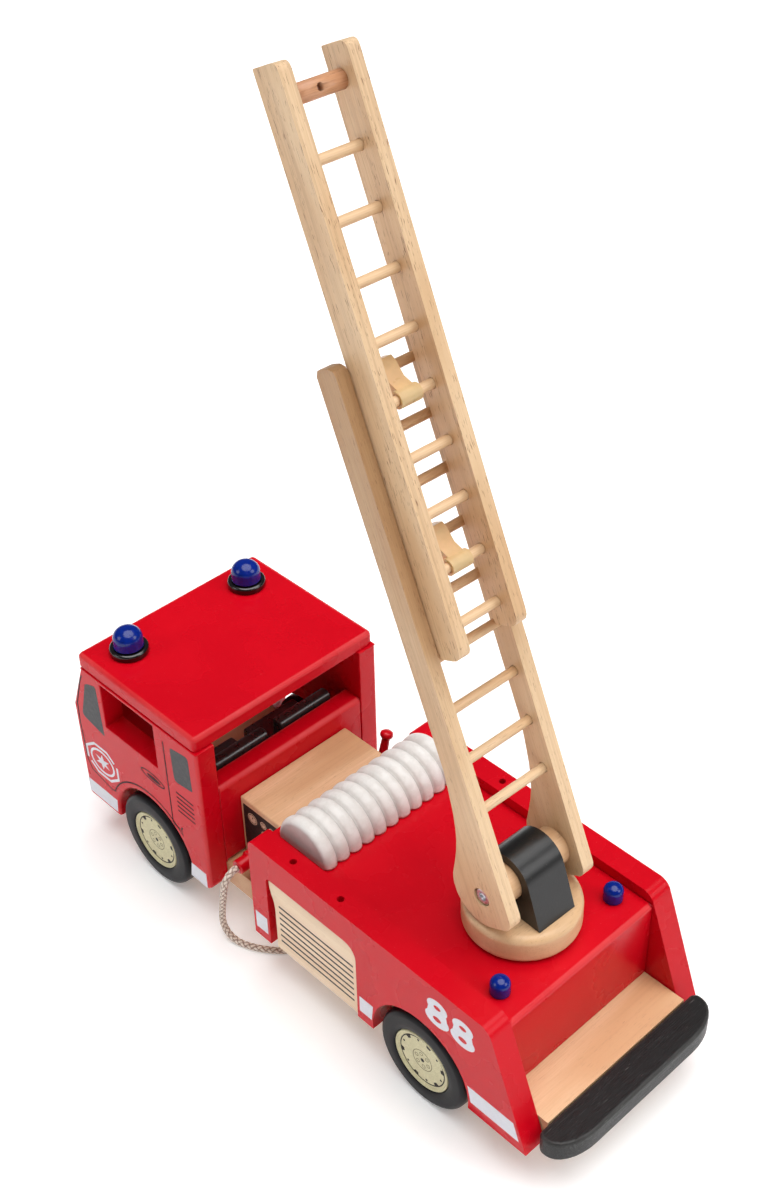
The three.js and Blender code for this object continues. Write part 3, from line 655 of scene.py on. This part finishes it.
def make_rope():
    """The braided rope, whose two ends are fast in the peg and in the nozzle."""
    centre, length = smooth_route(ROPE_ROUTE, ROPE_STEP)
    bm = bmesh.new()
    layer = bm.verts.layers.float.new("strand")
    normal = Vector((0, 0, 1))
    rings = []
    for i, point in enumerate(centre):
        way = (centre[min(i + 1, len(centre) - 1)] - centre[max(i - 1, 0)]).normalized()
        normal = (normal - way * normal.dot(way)).normalized()
        side = way.cross(normal)
        loop = []
        for k in range(ROPE_SIDES):
            turn = 2 * pi * k / ROPE_SIDES
            height = braid(turn, length * i / (len(centre) - 1))
            radius = ROPE_DIAMETER / 2 - ROPE_GROOVE * (1 - height)
            vert = bm.verts.new((point + radius * (cos(turn) * normal + sin(turn) * side)) * MM)
            # How high the braid stands; the rope's colour darkens in its valleys as painted shade.
            vert[layer] = height
            loop.append(vert)
        rings.append(loop)
    for low, high in zip(rings, rings[1:]):
        for k in range(ROPE_SIDES):
            j = (k + 1) % ROPE_SIDES
            bm.faces.new((low[k], low[j], high[j], high[k]))
    bm.faces.new(rings[0][::-1])
    bm.faces.new(rings[-1])
    bmesh.ops.recalc_face_normals(bm, faces=bm.faces)
    mesh = mesh_of(bm, "rope")
    mesh.polygons.foreach_set("use_smooth", [True] * len(mesh.polygons))
    piece = new_piece("rope_braid", mesh, "vehicle", ROPE)
    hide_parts("rope_hose")


# -------------------- vehicle
def prism(outline, x0, x1):
    """A flat (y, z) outline, thickened from x0 to x1."""
    bm = bmesh.new()
    near, far = ([bm.verts.new((x * MM, y * MM, z * MM)) for y, z in outline] for x in (x0, x1))
    bm.faces.new(near[::-1])
    bm.faces.new(far)
    for i, j in zip(range(len(near)), list(range(1, len(near))) + [0]):
        bm.faces.new((near[i], near[j], far[j], far[i]))
    bmesh.ops.recalc_face_normals(bm, faces=bm.faces)
    return bm


def drilled(bm, x, y, radius, bottom, top):
    """The solid with an upright hole taken out of it."""
    drill = bmesh.new()
    middle = Matrix.Translation(Vector((x, y, (top + bottom) / 2)) * MM)
    bmesh.ops.create_cone(drill, cap_ends=True, segments=48, radius1=radius * MM, radius2=radius * MM,
                          depth=(top - bottom) * MM, matrix=middle)
    block, tool = (bpy.data.objects.new("solid", mesh_of(solid, "solid")) for solid in (bm, drill))
    for thing in (block, tool):
        bpy.context.scene.collection.objects.link(thing)
    modifier = block.modifiers.new("hole", "BOOLEAN")
    modifier.operation, modifier.object, modifier.solver = "DIFFERENCE", tool, "EXACT"
    bpy.context.view_layer.update()
    result = bpy.data.meshes.new_from_object(block.evaluated_get(bpy.context.evaluated_depsgraph_get()))
    for thing in (block, tool):
        bpy.data.objects.remove(thing)
    bm = bmesh.new()
    bm.from_mesh(result)
    return bm


PIN_HOLE_R = 5.5


def make_deck():
    """The deck and the walls under its two ends, filled and painted as one."""
    deck, front, rear = ([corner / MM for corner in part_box(node)] for node in
                         ("deck", "body_front_wall", "body_rear_wall"))
    top, under, foot = deck[1].z, deck[0].z, front[0].z
    outline = [(deck[0].y, foot), (front[1].y, foot), (front[1].y, under), (rear[0].y, under),
               (rear[0].y, foot), (deck[1].y, foot), (deck[1].y, top), (deck[0].y, top)]
    pin = joint_place("turntable_turn") / MM
    bm = drilled(prism(outline, deck[0].x, deck[1].x), pin.x, pin.y, PIN_HOLE_R, under - 5, top + 5)

    def crisp(x, y, z):
        return y < deck[1].y - 1 or z < foot + 1 or abs(x) > deck[1].x - 1

    soften(bm, 3.4, 5, fine=(0.5, crisp))
    piece = new_piece("deck_finish", mesh_of(bm, "deck"), "vehicle", RED)
    even_normals(piece)
    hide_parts("deck", "body_front_wall", "body_rear_wall")


# The crisper edges: those inside, those that meet the roof or the deck, and those round the cab's
# window and the locker's cut-out.
CAB_HEAD_Z, CAB_SILL_Z, CAB_WINDOW_Y, CAB_INSIDE_X = 154.4, 115.0, (-189, -130.5), 64.5
DECK_EDGE_Z, BODY_INSIDE_X, LOCKER_Y, LOCKER_TOP_Z = 108, 64.2, (-24, 61), 95
ROOF_UNDERSIDE_Z, CAB_WALL_END_X = 160, 62


def cab_crisp(x, y, z):
    in_window = z > CAB_SILL_Z and CAB_WINDOW_Y[0] < y < CAB_WINDOW_Y[1]
    return z > CAB_HEAD_Z or in_window or abs(x) < CAB_INSIDE_X


def body_crisp(x, y, z):
    in_locker = LOCKER_Y[0] < y < LOCKER_Y[1] and z < LOCKER_TOP_Z
    return (abs(x) < BODY_INSIDE_X and z < DECK_EDGE_Z) or in_locker


def make_boards():
    """The boards of the chassis, cab and body, the seats, panels, pump box and bumper."""
    for side in SIDES:
        finished(f"cab_side_{side}", RED, 2.4, 4, fine=(0.8, cab_crisp))
        finished(f"body_side_{side}", RED, 3.2, 5, fine=(0.7, body_crisp))
        finished(f"seat_{side}", SEAT_BLACK, 1.4, 3)
        finished(f"locker_panel_{side}", PANEL_Y, 0.7, 3)
    finished("cab_roof", RED, 3.4, 6, fine=(0.5, lambda x, y, z: z < ROOF_UNDERSIDE_Z))
    finished("cab_front", RED, 1.6, 3, fine=(0.5, lambda x, y, z: abs(x) > CAB_WALL_END_X))
    finished("cab_rear_wall", RED, 3.6, 5, fine=(0.5, lambda x, y, z: abs(x) > CAB_WALL_END_X))
    finished("chassis_board", WARM_X, 1.0, 3)
    finished("pump_box", PUMP_X, 1.2, 3)
    finished("rear_bumper", BUMPER, 3.0, 5)
    make_deck()


DISC_FACE = 13.05        # from the wheel's inner side to the disc's printed face
RIM_LINE_R, HUB_LINE_R, NUT_CIRCLE_R = 18.7, 8.0, 5.2


def make_wheels():
    """The two axles, and a tyre and a printed disc on each of their ends."""
    tyre_profile = [
        (22.75, 0.6), (23.4, 0.15), (27.5, 0.0), (31.4, 0.25), *arc(31.8, 4.2, 4.0, -84, 0, 8),
        (36.0, 7.5), *arc(31.8, 10.8, 4.0, 0, 84, 8), (31.4, 14.75), (27.5, 15.0), (24.0, 14.7),
        (22.9, 13.9), (22.75, 13.0),
    ]
    disc_profile = [
        (0, 0.8), (21.8, 0.8), (22.35, 1.4), (22.35, 13.6), *arc(21.4, 13.6, 0.95, 0, 100, 5),
        (20.6, 13.7), (20.2, 13.2), (19.9, DISC_FACE), (0, DISC_FACE),
    ]
    for name, place in (("front", FRONT_AXLE), ("rear", REAR_AXLE)):
        finished(f"{name}_axle", BEECH_X, 0.4, 2, place)
        for side, sign in SIDES.items():
            inner = min(abs(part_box(f"{name}_tyre_{side}")[k].x) for k in (0, 1))
            facing = UPRIGHT if sign > 0 else HALF_TURN
            wheel = place @ Matrix.Translation((sign * inner, 0, 0)) @ facing
            turned_node(f"{name}_tyre_{side}", f"{name}_tyre_{side}_finish", tyre_profile, TYRE, wheel,
                        "X", 96, True)
            turned_node(f"{name}_wheel_disc_{side}", f"{name}_disc_{side}_finish", disc_profile, DISC,
                        wheel, "X", 80)
            print_wheel(f"{name}_{side}", f"{name}_wheels", wheel)


def print_wheel(name, body, wheel):
    """The printed rim line with six slots and six dots, the hub circle, its nuts and its hole."""
    face = wheel @ axes_at(Vector((DISC_FACE * MM, 0, 0)), *SIDEWAYS)
    put = printer(name, face, body)
    put("rim_line", ring(0, 0, RIM_LINE_R, 0.8, 72), PRINT_DARK)
    slots, dots = [], []
    for i in range(6):
        middle = 60 * i + 12
        slots.append(arc(0, 0, RIM_LINE_R - 0.2, middle - 7, middle + 7, 4)
                     + arc(0, 0, RIM_LINE_R - 2.7, middle + 4.6, middle - 4.6, 3))
        angle = radians(middle + 30)
        reach = RIM_LINE_R - 2.1
        dots.append(dot(reach * cos(angle), reach * sin(angle), 0.85, 0.85, 12))
    put("rim_slots", slots + dots, PRINT_DARK)
    hub = ring(0, 0, HUB_LINE_R, 0.5, 48)
    for i in range(6):
        angle = radians(60 * i + 42)
        hub += ring(NUT_CIRCLE_R * cos(angle), NUT_CIRCLE_R * sin(angle), 1.3, 0.4, 16)
    put("hub_lines", hub, PRINT_HUB)
    put("hub_hole", [dot(0, 0, 1.5, 1.5, 16)], PRINT_DARK)


DOME_FLATNESS = 0.82


def domed(foot, radius, shoulder, steps, top):
    """A profile that ends in a flattened dome on its shoulder."""
    dome = arc(0, shoulder, radius, 4, 86, steps)
    return foot + [(r, shoulder + (h - shoulder) * DOME_FLATNESS) for r, h in dome] + [(0, top)]


def make_beacons():
    """The two beacons on the roof, each a ring and a dome, and the two knobs on the deck."""
    ring_profile = [(0, 0), (12.9, 0), (13.4, 0.6), (13.4, 3.2), *arc(11.6, 3.2, 1.8, 0, 80, 6),
                    (11.6, 5.1), (11.3, 4.9), (0, 4.9)]
    glass = [(0, 0), (10.4, 0), (10.5, 0.4), (10.3, 1.2), (10.2, 3.0), (10.2, 5.6)]
    glass = domed(glass, 10.2, 5.8, 16, 14.1)
    knob = domed([(0, 0), (5.9, 0), (6.3, 0.5), (6.3, 7.0)], 6.3, 7.0, 14, 12.18)
    for side in SIDES:
        for node, name, profile, material in (("beacon_base", "beacon_ring", ring_profile, BASE_BLACK),
                                              ("beacon_dome", "beacon_glass", glass, BLUE),
                                              ("deck_knob", "knob", knob, BLUE)):
            turned_node(f"{node}_{side}", f"{name}_{side}", profile, material, foot_of(f"{node}_{side}"))


def make_hose_pegs():
    """The peg that the rope leaves from, its twin on the right, and the nozzle parked in that."""
    low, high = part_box("hose_outlet")
    length = (high.x - low.x) / MM
    peg = [(0, 0), (6.0, 0), (6.35, 0.4), (6.35, length - 10.4),
           *arc(5.75, length - 10.2, 0.6, 0, 80, 4), (5.2, length - 9.2), (5.1, length - 8.6),
           (5.15, length - 2.2), *arc(3.9, length - 1.25, 1.25, 0, 86, 6), (0, length)]
    place = Matrix.Translation((low.x, (low.y + high.y) / 2, (low.z + high.z) / 2))
    turned_node("hose_outlet", "outlet_peg", peg, RED_GLOSS, place, "X")
    finished("hose_rest", RED_GLOSS, 0.5, 2, limit=50)
    finished("hose_nozzle", RED_GLOSS, 0)


RIDGES, RIDGE_STEPS, RIDGE_HEIGHT, ROLL_STEPS = 11, 10, 3.6, 48
RIDGE_WOBBLE = 0.05


def make_hose_roll():
    """The ribbed roll: eleven round ridges, cut flat underneath."""
    low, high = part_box("hose_roll")
    width = (high.x - low.x) / MM
    radius = (high.z - low.z) / MM
    count = RIDGES * RIDGE_STEPS
    bm = bmesh.new()
    layer = bm.verts.layers.float.new("groove")
    rows = []
    for i in range(count + 1):
        share = (i % RIDGE_STEPS) / RIDGE_STEPS
        lift = sin(pi * share) ** 0.5 if share > 0 else 0.0
        r = radius - RIDGE_HEIGHT + RIDGE_HEIGHT * lift
        x = -width / 2 + width * i / count
        row = []
        for k in range(ROLL_STEPS + 1):
            angle = pi * k / ROLL_STEPS
            wobble = RIDGE_WOBBLE * noise.noise(Vector((x * 0.3, angle * 3, 0)))
            vert = bm.verts.new(((x + wobble) * MM, (r + wobble) * cos(angle) * MM, r * sin(angle) * MM))
            # How deep in a groove the point lies; the paint greys there as painted shade.
            vert[layer] = (1 - lift) ** 2
            row.append(vert)
        rows.append(row)
    for near, far in zip(rows, rows[1:]):
        for k in range(ROLL_STEPS):
            bm.faces.new((near[k], near[k + 1], far[k + 1], far[k]))
        bm.faces.new((near[0], far[0], far[-1], near[-1]))
    bm.faces.new(rows[0])
    bm.faces.new(rows[-1][::-1])
    bmesh.ops.recalc_face_normals(bm, faces=bm.faces)
    piece = new_piece("hose_roll_finish", mesh_of(bm, "hose_roll"), "vehicle", WHITE,
                      foot_of("hose_roll"))
    even_normals(piece)
    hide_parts("hose_roll")


# -------------------- printed sides
def print_sides():
    """The prints on the cab's sides, the body's sides and the locker panels."""
    for side, _, face in side_faces("cab_side_left"):
        print_cab_side(printer(side, face))
        print_emblem(printer(side, face))
    for side, sign, face in side_faces("body_side_left"):
        print_body_side(printer(side, face), sign)
    for side, _, face in side_faces("locker_panel_left"):
        lines = [level(-13.7, 55.5, 73.4 - 5.35 * i, 1.5) for i in range(7)]
        printer(side, face)("shutter_lines", lines, PRINT_DARK)


def level(start, end, height, width):
    """A straight line that stays at one height."""
    return stroke([(start, height), (end, height)], width)[0]


PEN = 1.15                # the width of the cab's drawn lines
WHEEL_ARCH_LINE_R = 46.5


def print_cab_side(put):
    """The cab side's stripes, corner windows, door outline, handle and vents."""
    put("cab_stripe_front", [[(-222.9, 33), (-190.5, 33), (-189.0, 45.6), (-223.2, 45.6)]], PRINT_WHITE)
    put("cab_stripe_rear", [[(-107.6, 31.6), (-90.2, 31.6), (-90.2, 45), (-105.6, 45)]], PRINT_WHITE)
    put("quarter_front", [rounded([(-206.8, 144, 3.5), (-194.2, 148.6, 3), (-191.9, 104.9, 1),
                                   (-216.4, 110.2, 4)], 3)], PRINT_GREY)
    put("quarter_rear", [rounded([(-114.3, 145.6, 2.5), (-95.4, 148.8, 3.5), (-94.3, 118.9, 1),
                                  (-113.2, 116.2, 4)], 2)], PRINT_GREY)
    wheel = joint_place("front_wheels_roll") / MM
    outline = [(-209.4, 149.5), (-213.4, 140.5), (-220.6, 118.5), (-221.2, 100), (-219.2, 66),
               (-215.3, 58.6), (-193.5, 53.5), (-188.4, 54.6)]
    outline += arc(wheel.y, wheel.z, WHEEL_ARCH_LINE_R, 156, 40, 14)
    outline += [(-112.6, 71.6), (-111.2, 74.2)]
    put("cab_outline", stroke(outline, PEN), PRINT_LINE)
    door = [(-121.3, 146.5), (-121.3, 110), (-121.3, 73.4), (-119.4, 71.4), (-114.5, 71.3)]
    put("door_line", stroke(door, PEN), PRINT_LINE)
    put("handle", stroke(dot(-139, 101.6, 12.4, 3.5, 36, radians(-3)), 1.1, True)
        + [dot(-138, 101.3, 7.4, 1.7, 24, radians(-3))], PRINT_LINE)
    vents = [stroke([(-113.3, 106.4 - 4.2 * i), (-95.3, 106.0 - 4.2 * i)], 1.35)[0] for i in range(5)]
    put("vents", vents, PRINT_LINE)


# The number's two figures, in the order in which they are read on the left side.
FIGURES_Y, FIGURES_Z = (129.6, 150.2), 95.75


def print_body_side(put, sign):
    """The body side's stripes and its number."""
    put("body_stripe_front", [[(-36.6, 38.5), (-25.3, 38.5), (-25.3, 53.5), (-36.6, 53.5)]], PRINT_WHITE)
    put("body_stripe_middle", [[(62.0, 39), (72.6, 39), (74.2, 52.8), (62.0, 52.8)]], PRINT_WHITE)
    put("body_stripe_rear", [[(157.4, 39), (196.0, 39), (191.2, 52.4), (154.6, 52.4)]], PRINT_WHITE)
    for i, y in enumerate(FIGURES_Y[::sign]):
        put(f"number_{i}", figure_eight(y, FIGURES_Z), PRINT_WHITE)


def figure_eight(y, z):
    """A bold 8 with a narrow waist, 19.4 mm wide and 22.4 mm high."""
    upper = [radians(-28 + 236 * i / 22) for i in range(23)]
    lower = [radians(146 + 248 * i / 24) for i in range(25)]
    outer = [(y + 8.2 * cos(a), z + 5.5 + 5.8 * sin(a)) for a in upper]
    outer += [(y + 9.7 * cos(a), z - 5.0 + 6.2 * sin(a)) for a in lower]
    return [outer, dot(y, z + 5.2, 2.9, 1.75, 20), dot(y, z - 5.0, 3.4, 2.1, 20)]


EMBLEM_PLACE, EMBLEM_REACH, EMBLEM_GAP = (-200.3, 75.0), (19.0, 14.6), 0.28
STAR_REACH, STAR_NOTCH = (8.8, 6.8), 0.42


def print_emblem(put):
    """A plain emblem: a broken octagon, a ring and a six-pointed star."""
    y, z = EMBLEM_PLACE
    corners = [radians(45 * i + 22.5) for i in range(9)]
    points = [(y + EMBLEM_REACH[0] * cos(a), z + EMBLEM_REACH[1] * sin(a)) for a in corners]
    shape = []
    for first in (0, 4):
        start = Vector(points[first]).lerp(Vector(points[first + 1]), EMBLEM_GAP)
        shape += stroke([tuple(start), *points[first + 1:first + 5]], 2.2)
    put("emblem_octagon", shape, PRINT_WHITE)
    put("emblem_ring", stroke(dot(y, z, 13.0, 9.9, 40), 1.9, True), PRINT_WHITE)
    star = []
    for i in range(12):
        reach = 1.0 if i % 2 == 0 else STAR_NOTCH
        a = radians(30 * i + 90)
        star.append((y + STAR_REACH[0] * reach * cos(a), z + STAR_REACH[1] * reach * sin(a)))
    put("emblem_star", [star], PRINT_WHITE)


PANEL_MARGIN = 2.6


def hand(a, b, start, end, turn, width):
    """A straight line that points away from (a, b), from one distance to another."""
    return stroke([(a + start * cos(turn), b + start * sin(turn)),
                   (a + end * cos(turn), b + end * sin(turn))], width)


def print_pump_panel():
    """The pump's panel: a black plate with round dials and a row of valves."""
    low, high = (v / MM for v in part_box("pump_box"))
    for side, sign, face in side_faces("pump_box"):
        left, right = low.y + PANEL_MARGIN, high.y - PANEL_MARGIN
        bottom, top = low.z + 3, high.z - 4.5
        plate = rounded([(left, bottom), (right, bottom), (right, top), (left, top)], 1.2)
        printer(side, face)("panel", [plate], PRINT_DARK)
        over = printer(side, face @ Matrix.Translation((0, 0, sign * INK * MM)))
        dials = [(left + 9, top - 9, 4.6), (left + 20, top - 7.5, 3.0), (left + 28.5, top - 7.5, 3.0),
                 (left + 20, top - 16, 2.7), (left + 28.5, top - 16, 2.7)]
        over("dial_faces", [dot(a, b, r, r, 32) for a, b, r in dials], PRINT_TAN)
        above = printer(side, face @ Matrix.Translation((0, 0, sign * 2 * INK * MM)))
        marks = []
        for i, (a, b, r) in enumerate(dials):
            marks += ring(a, b, r - 0.8, 0.4, 32)
            for tick in range(8):
                marks += hand(a, b, 0.62 * r, 0.76 * r, radians(45 * tick), 0.35)
            marks += hand(a, b, 0, 0.5 * r, radians(70 + 40 * i), 0.6)
        above("dial_marks", marks, PRINT_DARK)
        valves = [dot(left + 6 + 6.2 * i, bottom + 6, 1.7, 1.7, 16) for i in range(6)]
        over("valves", valves, PRINT_TAN)


LAMP_X, LAMP_Z = 46, 33
FRONT_LEAN = 1.4          # how much further forward the front board is at its top than at its foot


def print_front():
    """The cab's front, out of sight in the only view of the toy: plain lamps, grille and stripe."""
    low, high = (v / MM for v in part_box("cab_front"))
    across = Vector((1, 0, 0))
    slope = Vector((0, -FRONT_LEAN, high.z - low.z)).normalized()
    face = axes_at(Vector((0, (low.y + FRONT_LEAN) * MM, low.z * MM)), across, slope, across.cross(slope))
    lamps = [dot(sign * LAMP_X, LAMP_Z, 7.4, 7.4, 36) for sign in (1, -1)]
    rims = [loop for sign in (1, -1) for loop in ring(sign * LAMP_X, LAMP_Z, 8.6, 1.0, 40)]
    bars = [level(-30, 30, 26 + 4 * i, 1.4) for i in range(5)]
    stripe = [(-61, 4.5), (61, 4.5), (61, 16), (-61, 16)]
    print_on("front_lamps", lamps, face, "vehicle", PRINT_WHITE)
    print_on("front_lamp_rings", rims, face, "vehicle", PRINT_GREY)
    print_on("front_grille", bars, face, "vehicle", PRINT_GREY)
    print_on("front_stripe", [stripe], face, "vehicle", PRINT_WHITE)


# -------------------- turntable and ladders
TURNTABLE_EDGE_R = 5.0


def make_turntable():
    """The turned disc with its round edge, its pin and the pedestal on it."""
    low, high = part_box("turntable")
    height = (high.z - low.z) / MM
    edge = TURNTABLE_EDGE_R
    flat = (high.x - low.x) / 2 / MM - edge
    profile = [(0, 0), *arc(flat, edge, edge, -90, 0, 12), *arc(flat, height - edge, edge, 0, 90, 12),
               (0, height)]
    turned_node("turntable", "turntable_disc", profile, BEECH_X, TURNTABLE, "Z", 128)
    finished("turntable_pin", BEECH_Z, 0.5, 2, TURNTABLE)
    finished("pedestal", BLACK, 1.4, 4, TURNTABLE)


def make_ladders():
    """The two ladders with their rungs and hooks, and the dowel and bolts they tilt on."""
    for side in SIDES:
        finished(f"lower_rail_{side}", LOWER_RAIL_Y, 1.6, 4, LADDER)
        make_bolt(side)
    finished("upper_rail_right", FLECKED_Y, 0.9, 3, LADDER)
    finished("upper_rail_left_with_rungs", FLECKED_Y, 0.9, 3, LADDER, mirror_of="upper_rail_right")
    make_upper_rungs()
    for node in SLOT_OF:
        if node.startswith("lower_rung"):
            finished(node, BEECH_X, 0, place=LADDER)
    finished("pivot_dowel", WARM_X, 0.5, 2, LADDER)
    finished("upper_top_bar", BROWN_X, 0, place=LADDER)
    for hook in ("ladder_hook_1", "ladder_hook_2"):
        finished(hook, HOOK, 0.5, 3, LADDER, limit=50)


RUNG_PITCH, RUNG_HALF_LENGTH = 31.75, 21.3
RUNG_TIPS_X = 20          # past this, the left rail's node has nothing but the ends of its rungs


def make_upper_rungs():
    """The upper ladder's rungs, where its left rail's node has them, with the grain along them."""
    solid = cad_mesh("upper_rail_left_with_rungs", LADDER)
    tips = sorted((v.co.y, v.co.z) for v in solid.verts if v.co.x > RUNG_TIPS_X * MM)
    solid.free()
    groups = {}
    for y, z in tips:
        groups.setdefault(int((y - tips[0][0]) / (RUNG_PITCH * MM) + 0.01), []).append((y, z))
    end = [(0, RUNG_HALF_LENGTH), (2.7, RUNG_HALF_LENGTH), (3, RUNG_HALF_LENGTH - 0.3), (3, 10)]
    rung = [(r, -x) for r, x in end] + [(3.02, 0)] + end[::-1]
    for i, tip in sorted(groups.items()):
        y, z = (sum(values) / len(values) for values in zip(*tip))
        place = LADDER @ Matrix.Translation((0, y, z))
        turned(f"upper_rung_{i + 1}", rung, "upper_ladder", BEECH_X, place, "X", 32)


def make_bolt(side):
    """A round bolt head with a socket, sunk in the rail."""
    inverse = LADDER.inverted()
    node = f"pivot_bolt_{side}"
    corners = [inverse @ Vector(v.co) for v in frame["nodes"][node].data.vertices]
    reach = max(abs(c.x) for c in corners) / MM
    facing = LADDER if sum(c.x for c in corners) > 0 else LADDER @ HALF_TURN
    head = [(0, 14), (2.5, 14), (2.5, reach - 2.4), (5.3, reach - 2.4), (5.6, reach - 2.1),
            (5.6, reach - 1.0), *arc(4.4, reach - 1.2, 1.2, 0, 80, 5), (2.9, reach),
            (2.75, reach - 0.1), (2.7, reach - 1.8), (0, reach - 1.9)]
    turned_node(node, f"bolt_{side}", head, STEEL, facing, "X", 48)


# -------------------- floor and light
def make_backing(name, bm, dark, light, glow, camera_only=False):
    """A surface of the studio that glows white, with a paint between two greys."""
    backing = bpy.data.objects.new(name, mesh_of(bm, name))
    bpy.context.scene.collection.objects.link(backing)
    s = Surface(name, 0.9, Emission_Color=(1, 1, 1, 1), Emission_Strength=glow)
    cloudy = s.ramp(s.noise((900, 900, 900), 1), 0.4, 0.6)
    s.paint(s.mix(cloudy, colour(dark, dark, dark), colour(light, light, light)))
    backing.data.materials.append(s.material)
    if camera_only:
        backing.visible_diffuse = backing.visible_glossy = backing.visible_shadow = False


def make_sun(name, towards, strength, spread):
    """A wide lamp that shines from `towards`. Its spread is in degrees."""
    data = bpy.data.lights.new(name, "SUN")
    data.energy = strength
    data.angle = radians(spread)
    light = bpy.data.objects.new(name, data)
    light.rotation_mode = "QUATERNION"
    light.rotation_quaternion = (-Vector(towards)).to_track_quat("-Z", "Y")
    bpy.context.scene.collection.objects.link(light)


FLOOR_HALF_WIDTH, BACKDROP_R = 6, 5.5     # metres


def make_stage():
    """The floor, the backdrop round the whole view, the dim sky and the three lamps."""
    bm = bmesh.new()
    bmesh.ops.create_grid(bm, x_segments=1, y_segments=1, size=FLOOR_HALF_WIDTH)
    make_backing("floor", bm, 250, 252, 0.2)
    bm = bmesh.new()
    bmesh.ops.create_uvsphere(bm, u_segments=64, v_segments=32, radius=BACKDROP_R)
    make_backing("backdrop", bm, 20, 24, 1.0, camera_only=True)

    world = bpy.data.worlds.new("studio")
    bpy.context.scene.world = world
    world.use_nodes = True
    sky = world.node_tree.nodes["Background"]
    sky.inputs["Color"].default_value = (1, 1, 1, 1)
    sky.inputs["Strength"].default_value = 0.1

    make_sun("overhead", (-0.08, 0.12, 1), 3.1, 60)
    make_sun("left_panel", (0.85, -0.4, 0.5), 0.42, 26)
    make_sun("right_panel", (-0.45, 0.85, 0.6), 0.75, 30)
    bpy.context.scene.view_settings.view_transform = "Standard"


make_hose_pegs()
make_rope()
make_boards()
make_wheels()
make_beacons()
make_hose_roll()
print_sides()
print_pump_panel()
print_front()
make_turntable()
make_ladders()
make_stage()
